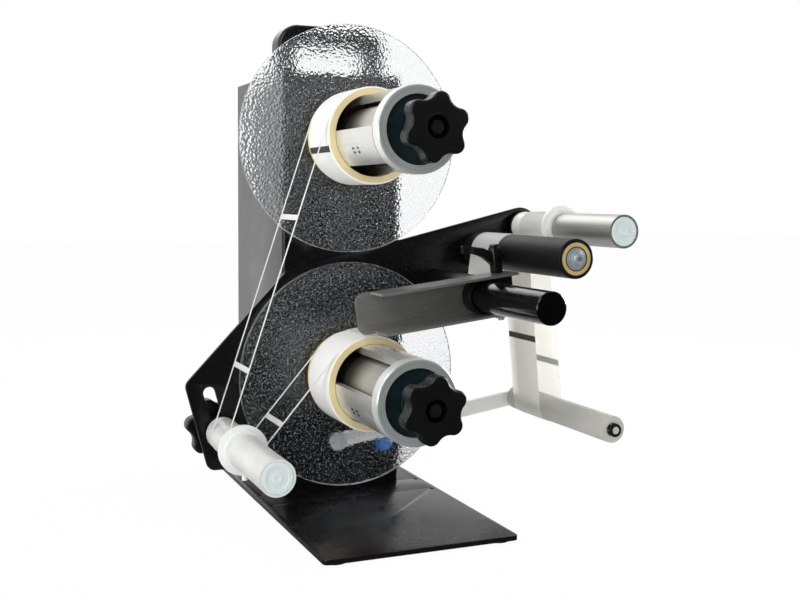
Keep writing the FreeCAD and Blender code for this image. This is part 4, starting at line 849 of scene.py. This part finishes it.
def makeDancerSeal():
    front = dancerRoller["front"]
    nuts = [low.y for low, high in solidSpots("dancer_pins") if low.x < dancerRoller["x"] < high.x]
    tip = min(nuts) - sealForm["proud"]
    outside, inside = sealForm["outside"], sealForm["inside"]
    profile = [(outside, front), (outside, tip + 0.0006), (outside - 0.0006, tip), (inside + 0.0003, tip),
               (inside, tip + 0.0003), (inside, front), (outside, front)]
    seal = lathe("dancerSeal", dancerRoller, profile)
    finishPiece(seal, bodyOf["dancer_pins"], "black_rubber", blackRubber)


makeDancerSeal()
print("roller ends dressed")

# Clamp lever: a swept moulded arm on a ribbed hub, with its stud and nut
leverForm = {"studAlong": 0.0185, "studDepth": 0.103, "foot": 0.0198, "hub": 0.006, "tall": 0.025,
             "ribs": 10, "stud": 0.003, "nut": 0.0062, "nutThick": 0.0045}


def makeLever():
    form = leverForm
    tilt = (Matrix.Translation((post["x"], 0, post["z"])) @ Matrix.Rotation(-channelTilt, 4, "Y")
            @ Matrix.Translation((form["studAlong"], -form["studDepth"], form["foot"])))
    bpy.ops.mesh.primitive_cylinder_add(vertices=60, radius=form["hub"], depth=form["tall"],
                                        location=(0, 0, form["tall"] / 2))
    hub = settle(bpy.context.object, "clampLever")
    for vertex in hub.data.vertices:
        turn = math.atan2(vertex.co.y, vertex.co.x)
        shrink = 1 - 0.05 * (1 + math.cos(form["ribs"] * turn)) / 2
        vertex.co.x *= shrink
        vertex.co.y *= shrink
    applyModifier(hub, "BEVEL", width=0.0007, segments=2, limit_method="ANGLE", angle_limit=math.radians(60),
                  use_clamp_overlap=True)
    bpy.ops.mesh.primitive_cylinder_add(vertices=40, radius=form["hub"] - 0.0013, depth=0.003,
                                        location=(0, 0, form["tall"] + 0.0009))
    button = settle(bpy.context.object, "leverButton")
    applyModifier(button, "BEVEL", width=0.0006, segments=2, limit_method="ANGLE",
                  angle_limit=math.radians(60), use_clamp_overlap=True)
    bpy.ops.mesh.primitive_cube_add(size=1, location=(-0.002, 0, 0.0125), scale=(0.004, 0.008, 0.011))
    arm = settle(bpy.context.object, "leverArm")
    steps = [((-0.004, 0, 0.0048), 0.86, 24), ((-0.007, 0, 0.0048), 0.84, 4), ((-0.0095, 0, 0.0028), 0.86, -18),
             ((-0.0105, 0, 0.0022), 1.04, -4)]
    bpy.context.tool_settings.mesh_select_mode = (False, False, True)
    for face in arm.data.polygons:
        face.select = face.normal.x < -0.9
    editMode(True)
    middle = Vector((-0.004, 0, 0.0125))
    for step, shrink, turn in steps:
        middle += Vector(step)
        bpy.ops.mesh.extrude_region_move(TRANSFORM_OT_translate={"value": step})
        bpy.ops.transform.resize(value=(shrink, shrink, shrink), center_override=middle)
        bpy.ops.transform.rotate(value=math.radians(-turn), orient_axis="Y", center_override=middle)
    bpy.ops.mesh.select_all(action="DESELECT")
    editMode(False)
    applyModifier(arm, "BEVEL", width=0.0012, segments=1, limit_method="ANGLE", angle_limit=math.radians(40),
                  use_clamp_overlap=True)
    applyModifier(arm, "SUBSURF", levels=2, render_levels=2)
    lever = joinPieces([hub, button, arm], "clampLever")
    lever.data.transform(tilt)
    finishPiece(lever, "clamp_lever", "black_plastic", blackPlastic, "clamp_lever")
    under = -2 * form["foot"] + 0.0006
    bpy.ops.mesh.primitive_cylinder_add(vertices=32, radius=form["stud"], depth=-under + 0.007,
                                        location=(0, 0, (under - 0.007) / 2))
    stud = settle(bpy.context.object, "leverStud")
    bpy.ops.mesh.primitive_cylinder_add(vertices=6, radius=form["nut"], depth=form["nutThick"],
                                        location=(0, 0, under - 0.0003 - form["nutThick"] / 2))
    nut = settle(bpy.context.object, "leverNut")
    applyModifier(nut, "BEVEL", width=0.0006, segments=2, limit_method="ANGLE", angle_limit=math.radians(40),
                  use_clamp_overlap=True)
    whole = joinPieces([stud, nut], "leverStud")
    whole.data.transform(tilt)
    finishPiece(whole, "clamp_lever", "spindle_steel", spindleSteel)


makeLever()
print("clamp lever made")

# Paper: ribbons drawn out edge by edge along the rollers they touch
paper = {"clear": 0.0003, "thick": 0.0003, "back": 0.03, "wide": 0.054, "arcStep": 9.0, "runStep": 0.02,
         "tail": 0.04, "mark": 0.006, "frontMark": 0.16, "backMark": 0.135, "rollMark": 197.0,
         "strip": 0.003, "bar": 0.005}


def aroundRoller(spot, side):
    return Vector((spot["x"], 0, spot["z"])), side * (spot["radius"] + paper["clear"] + paper["thick"] / 2)


def tangentRun(first, second):
    (a, ra), (b, rb) = first, second
    gap = b - a
    turn = math.atan2(gap.z, gap.x) - math.asin((rb - ra) / math.hypot(gap.x, gap.z))
    normal = Vector((-math.sin(turn), 0, math.cos(turn)))
    return a - normal * ra, b - normal * rb


def arcPoints(circle, start, end):
    centre, radius = circle
    first, last = start - centre, end - centre
    turn = math.atan2(first.x * last.z - first.z * last.x, first.x * last.x + first.z * last.z)
    if radius > 0 and turn < 0:
        turn += 2 * math.pi
    if radius < 0 and turn > 0:
        turn -= 2 * math.pi
    count = max(2, round(abs(math.degrees(turn)) / paper["arcStep"]))
    points = []
    for step in range(count + 1):
        angle = turn * step / count
        points.append(centre + Vector((first.x * math.cos(angle) - first.z * math.sin(angle), 0,
                                       first.x * math.sin(angle) + first.z * math.cos(angle))))
    return points


def runPoints(start, end, stops=()):
    count = max(1, round((end - start).length / paper["runStep"]))
    shares = {step / count for step in range(count + 1)} | set(stops)
    return [start.lerp(end, share) for share in sorted(shares)]


def ribbon(name, points, back, wide, finish, inked=None, ink=None, body="root", slot="liner_paper"):
    bpy.ops.mesh.primitive_plane_add(size=wide, location=(points[0].x, -back - wide / 2, points[0].z))
    strip = settle(bpy.context.object, name)
    editMode(True)
    bpy.ops.mesh.select_all(action="SELECT")
    bpy.ops.transform.resize(value=(0, 1, 1), center_override=points[0])
    bpy.ops.mesh.remove_doubles(threshold=1e-6)
    for here, there in zip(points, points[1:]):
        bpy.ops.mesh.extrude_edges_move(TRANSFORM_OT_translate={"value": there - here})
    bpy.ops.mesh.select_all(action="DESELECT")
    editMode(False)
    applyModifier(strip, "SOLIDIFY", thickness=paper["thick"], offset=0.0)
    finishPiece(strip, None, slot, finish)
    if inked:
        strip.data.materials.append(ink)
        for face in strip.data.polygons:
            face.material_index = 1 if inked(face.center) else 0
    if body:
        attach(strip, body)
    return strip


def makeLabelWeb():
    circles = [aroundRoller(topRoller, 1), aroundRoller(dancerRoller, -1), aroundRoller(rubberRoller, 1),
               aroundRoller(idler, -1), aroundRoller(roundPlace("lower_roll"), 1)]
    topCentre, topReach = circles[0]
    tail = Vector((topCentre.x + paper["tail"], 0, topCentre.z + topReach))
    runs = [tangentRun(a, b) for a, b in zip(circles, circles[1:])]
    half = paper["mark"] / 2
    over = [tail] + arcPoints(circles[0], Vector((topCentre.x, 0, topCentre.z + topReach)), runs[0][0])
    pieces = [ribbon("webTail", over, paper["back"], paper["wide"], liner)]

    def markStops(run, height):
        rise = run[1].z - run[0].z
        return [(height + side * half - run[0].z) / rise for side in (-1, 1)]

    down = runPoints(*runs[0], markStops(runs[0], paper["backMark"]))
    spanDown = ribbon("webSpanDown", down, paper["back"], paper["wide"], liner,
                      lambda spot: abs(spot.z - paper["backMark"]) < half, greyInk)
    wrap = ribbon("webDancerWrap", arcPoints(circles[1], runs[0][1], runs[1][0]), paper["back"],
                  paper["wide"], liner)
    up = runPoints(*runs[1], markStops(runs[1], paper["frontMark"]))
    spanUp = ribbon("webSpanUp", up, paper["back"], paper["wide"], liner,
                    lambda spot: abs(spot.z - paper["frontMark"]) < half, darkInk)
    rest = arcPoints(circles[2], runs[1][1], runs[2][0])
    rest += runPoints(*runs[2])[1:-1]
    rest += arcPoints(circles[3], runs[2][1], runs[3][0])
    rest += runPoints(*runs[3])[1:]
    pieces.append(ribbon("webToRoll", rest, paper["back"], paper["wide"], liner))
    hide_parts("label_web")
    followDancer(spanDown, runs[0][0])
    followDancer(spanUp, runs[1][1])
    followDancer(wrap, None)


def followDancer(piece, fixed):
    # reads the dancer joint's pivot and gives the piece its own copy of its mesh
    joint = next(j for j in frame["joints"] if j["name"] == "dancer_swing")
    pivot = Vector(joint["pos_m"])
    pivot.y = 0
    if fixed is None:
        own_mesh(piece)
        return
    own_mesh(piece)


makeLabelWeb()


def makeRollMark():
    centre, reach = aroundRoller(roundPlace("upper_roll"), 1)
    middle = math.radians(paper["rollMark"])
    spread = paper["mark"] / 2 / reach
    points = [centre + Vector((math.cos(middle + share * spread), 0, math.sin(middle + share * spread)))
              * (reach - paper["clear"] - 0.0001) for share in (-1, -0.5, 0, 0.5, 1)]
    ribbon("rollMark", points, paper["back"], paper["wide"], darkInk, body="upper_spindle", slot="label_paper")


makeRollMark()


def makeLadder():
    upper = aroundRoller(roundPlace("upper_roll"), 1)
    guide = aroundRoller(leftRoller, 1)
    lower = aroundRoller(roundPlace("lower_roll"), -1)
    downRun, upRun = tangentRun(upper, guide), tangentRun(guide, lower)
    lanes = (paper["back"], paper["back"] + paper["wide"] - paper["strip"])
    pieces = {"ladderDown": [], "ladderWrap": [], "ladderUp": []}
    for number, lane in enumerate(lanes):
        for name, points in (("ladderDown", runPoints(*downRun)), ("ladderUp", runPoints(*upRun)),
                             ("ladderWrap", arcPoints(guide, downRun[1], upRun[0]))):
            pieces[name].append(ribbon(f"{name}{number}", points, lane, paper["strip"], liner, body=None))
    for name, run, share in (("ladderDown", downRun, 0.3), ("ladderDown", downRun, 0.77),
                             ("ladderUp", upRun, 0.3)):
        along = (run[1] - run[0]).normalized() * paper["bar"]
        start = run[0].lerp(run[1], share)
        pieces[name].append(ribbon(f"{name}Bar{share}".replace(".", ""), [start, start + along],
                                   paper["back"] + paper["strip"] / 2, paper["wide"] - paper["strip"],
                                   liner, body=None))
    whole = {name: joinPieces(parts, name) for name, parts in pieces.items()}
    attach(whole["ladderWrap"], "carriage")
    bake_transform(whole["ladderDown"])
    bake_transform(whole["ladderUp"])
    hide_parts("ladder_web")


makeLadder()
print("paper threaded")


# Studio: white backdrop behind, dim in front, two soft lamps and a pale floor
studio = {"ambient": 0.62, "frontGloss": 0.03, "floorWhite": 0.97}
lamps = [
    {"name": "keyLamp", "spot": (-0.9, -0.9, 1.15), "power": 7.0, "size": 0.7},
    {"name": "fillLamp", "spot": (-1.3, -0.8, 0.3), "power": 7.0, "size": 0.6},
    {"name": "sideLamp", "spot": (1.1, -0.75, 0.75), "power": 3.0, "size": 0.3},
    {"name": "webLamp", "spot": (1.3, 0.35, 0.45), "power": 16.0, "size": 0.5},
    {"name": "backLamp", "spot": (0.1, 1.1, 1.2), "power": 4.0, "size": 0.9},
]


def makeStudio():
    world = bpy.data.worlds.new("studio")
    bpy.context.scene.world = world
    world.use_nodes = True
    tree = world.node_tree
    path = addNode(tree, "ShaderNodeLightPath").outputs
    way = addNode(tree, "ShaderNodeTexCoord").outputs["Generated"]
    depth = addNode(tree, "ShaderNodeSeparateXYZ", {"Vector": way}).outputs["Y"]
    gloss = mapValue(tree, depth, -0.55, 0.35, studio["frontGloss"], 1.0)
    extra = mathNode(tree, "SUBTRACT", gloss, studio["ambient"])
    glossy = mathNode(tree, "MULTIPLY", path["Is Glossy Ray"], extra)
    level = mathNode(tree, "ADD", glossy, studio["ambient"])
    seen = mathNode(tree, "MAXIMUM", path["Is Camera Ray"], path["Is Transmission Ray"])
    lacking = mathNode(tree, "SUBTRACT", 1.0, level)
    strength = mathNode(tree, "MULTIPLY_ADD", seen, lacking)
    strength.node.inputs[2].default_value = 0.0
    tree.links.new(level, strength.node.inputs[2])
    tree.links.new(strength, tree.nodes["Background"].inputs["Strength"])
    tree.nodes["Background"].inputs["Color"].default_value = (1, 1, 1, 1)
    middle = (cadBox[0] + cadBox[1]) / 2
    for lamp in lamps:
        light = bpy.data.lights.new(lamp["name"], "AREA")
        light.energy = lamp["power"]
        light.size = lamp["size"]
        holder = bpy.data.objects.new(lamp["name"], light)
        bpy.context.scene.collection.objects.link(holder)
        holder.location = lamp["spot"]
        holder.rotation_euler = (middle - holder.location).to_track_quat("-Z", "Y").to_euler()


def makeFloor():
    bpy.ops.mesh.primitive_plane_add(size=12, location=(0, 0, 0))
    floor = settle(bpy.context.object, "floor")
    pale = Finish("floorPale", (0.86, 0.86, 0.86), 0.7)
    path = addNode(pale.tree, "ShaderNodeLightPath").outputs
    seen = mathNode(pale.tree, "MAXIMUM", path["Is Camera Ray"], path["Is Transmission Ray"])
    share = mathNode(pale.tree, "MULTIPLY", seen, studio["floorWhite"])
    white = addNode(pale.tree, "ShaderNodeEmission", {"Color": (1, 1, 1, 1), "Strength": 1.0})
    mix = addNode(pale.tree, "ShaderNodeMixShader", {0: share, 1: pale.shader.outputs[0], 2: white.outputs[0]})
    level = mapValue(pale.tree, pale.axis("Y"), -0.3, 0.6, studio["frontGloss"], 1.0)
    mirrored = addNode(pale.tree, "ShaderNodeEmission", {"Color": (1, 1, 1, 1), "Strength": level})
    whole = addNode(pale.tree, "ShaderNodeMixShader", {0: path["Is Glossy Ray"], 1: mix.outputs[0],
                                                       2: mirrored.outputs[0]})
    pale.tree.links.new(whole.outputs[0], pale.tree.nodes["Material Output"].inputs["Surface"])
    floor.data.materials.append(pale.material)
    floor.select_set(False)


makeStudio()
makeFloor()
bpy.context.scene.view_settings.view_transform = "Standard"

# Camera: found from the photograph's straight edges and disc outlines
view = {"place": (-0.3759, -1.0346, 0.3005), "yaw": 23.17, "dip": 3.25, "roll": 0.3128, "lens": 49.405,
        "shiftX": -0.0047, "shiftY": -0.0497}


def makeCamera():
    data = bpy.data.cameras.new("photoCamera")
    data.lens = view["lens"]
    data.sensor_width = 36.0
    data.shift_x = view["shiftX"]
    data.shift_y = view["shiftY"]
    camera = bpy.data.objects.new("photoCamera", data)
    bpy.context.scene.collection.objects.link(camera)
    turn = (Matrix.Rotation(math.radians(-view["yaw"]), 4, "Z")
            @ Matrix.Rotation(math.radians(90 - view["dip"]), 4, "X")
            @ Matrix.Rotation(math.radians(view["roll"]), 4, "Z"))
    camera.matrix_world = Matrix.Translation(view["place"]) @ turn
    bpy.context.scene.camera = camera


makeCamera()
print("studio and camera set")
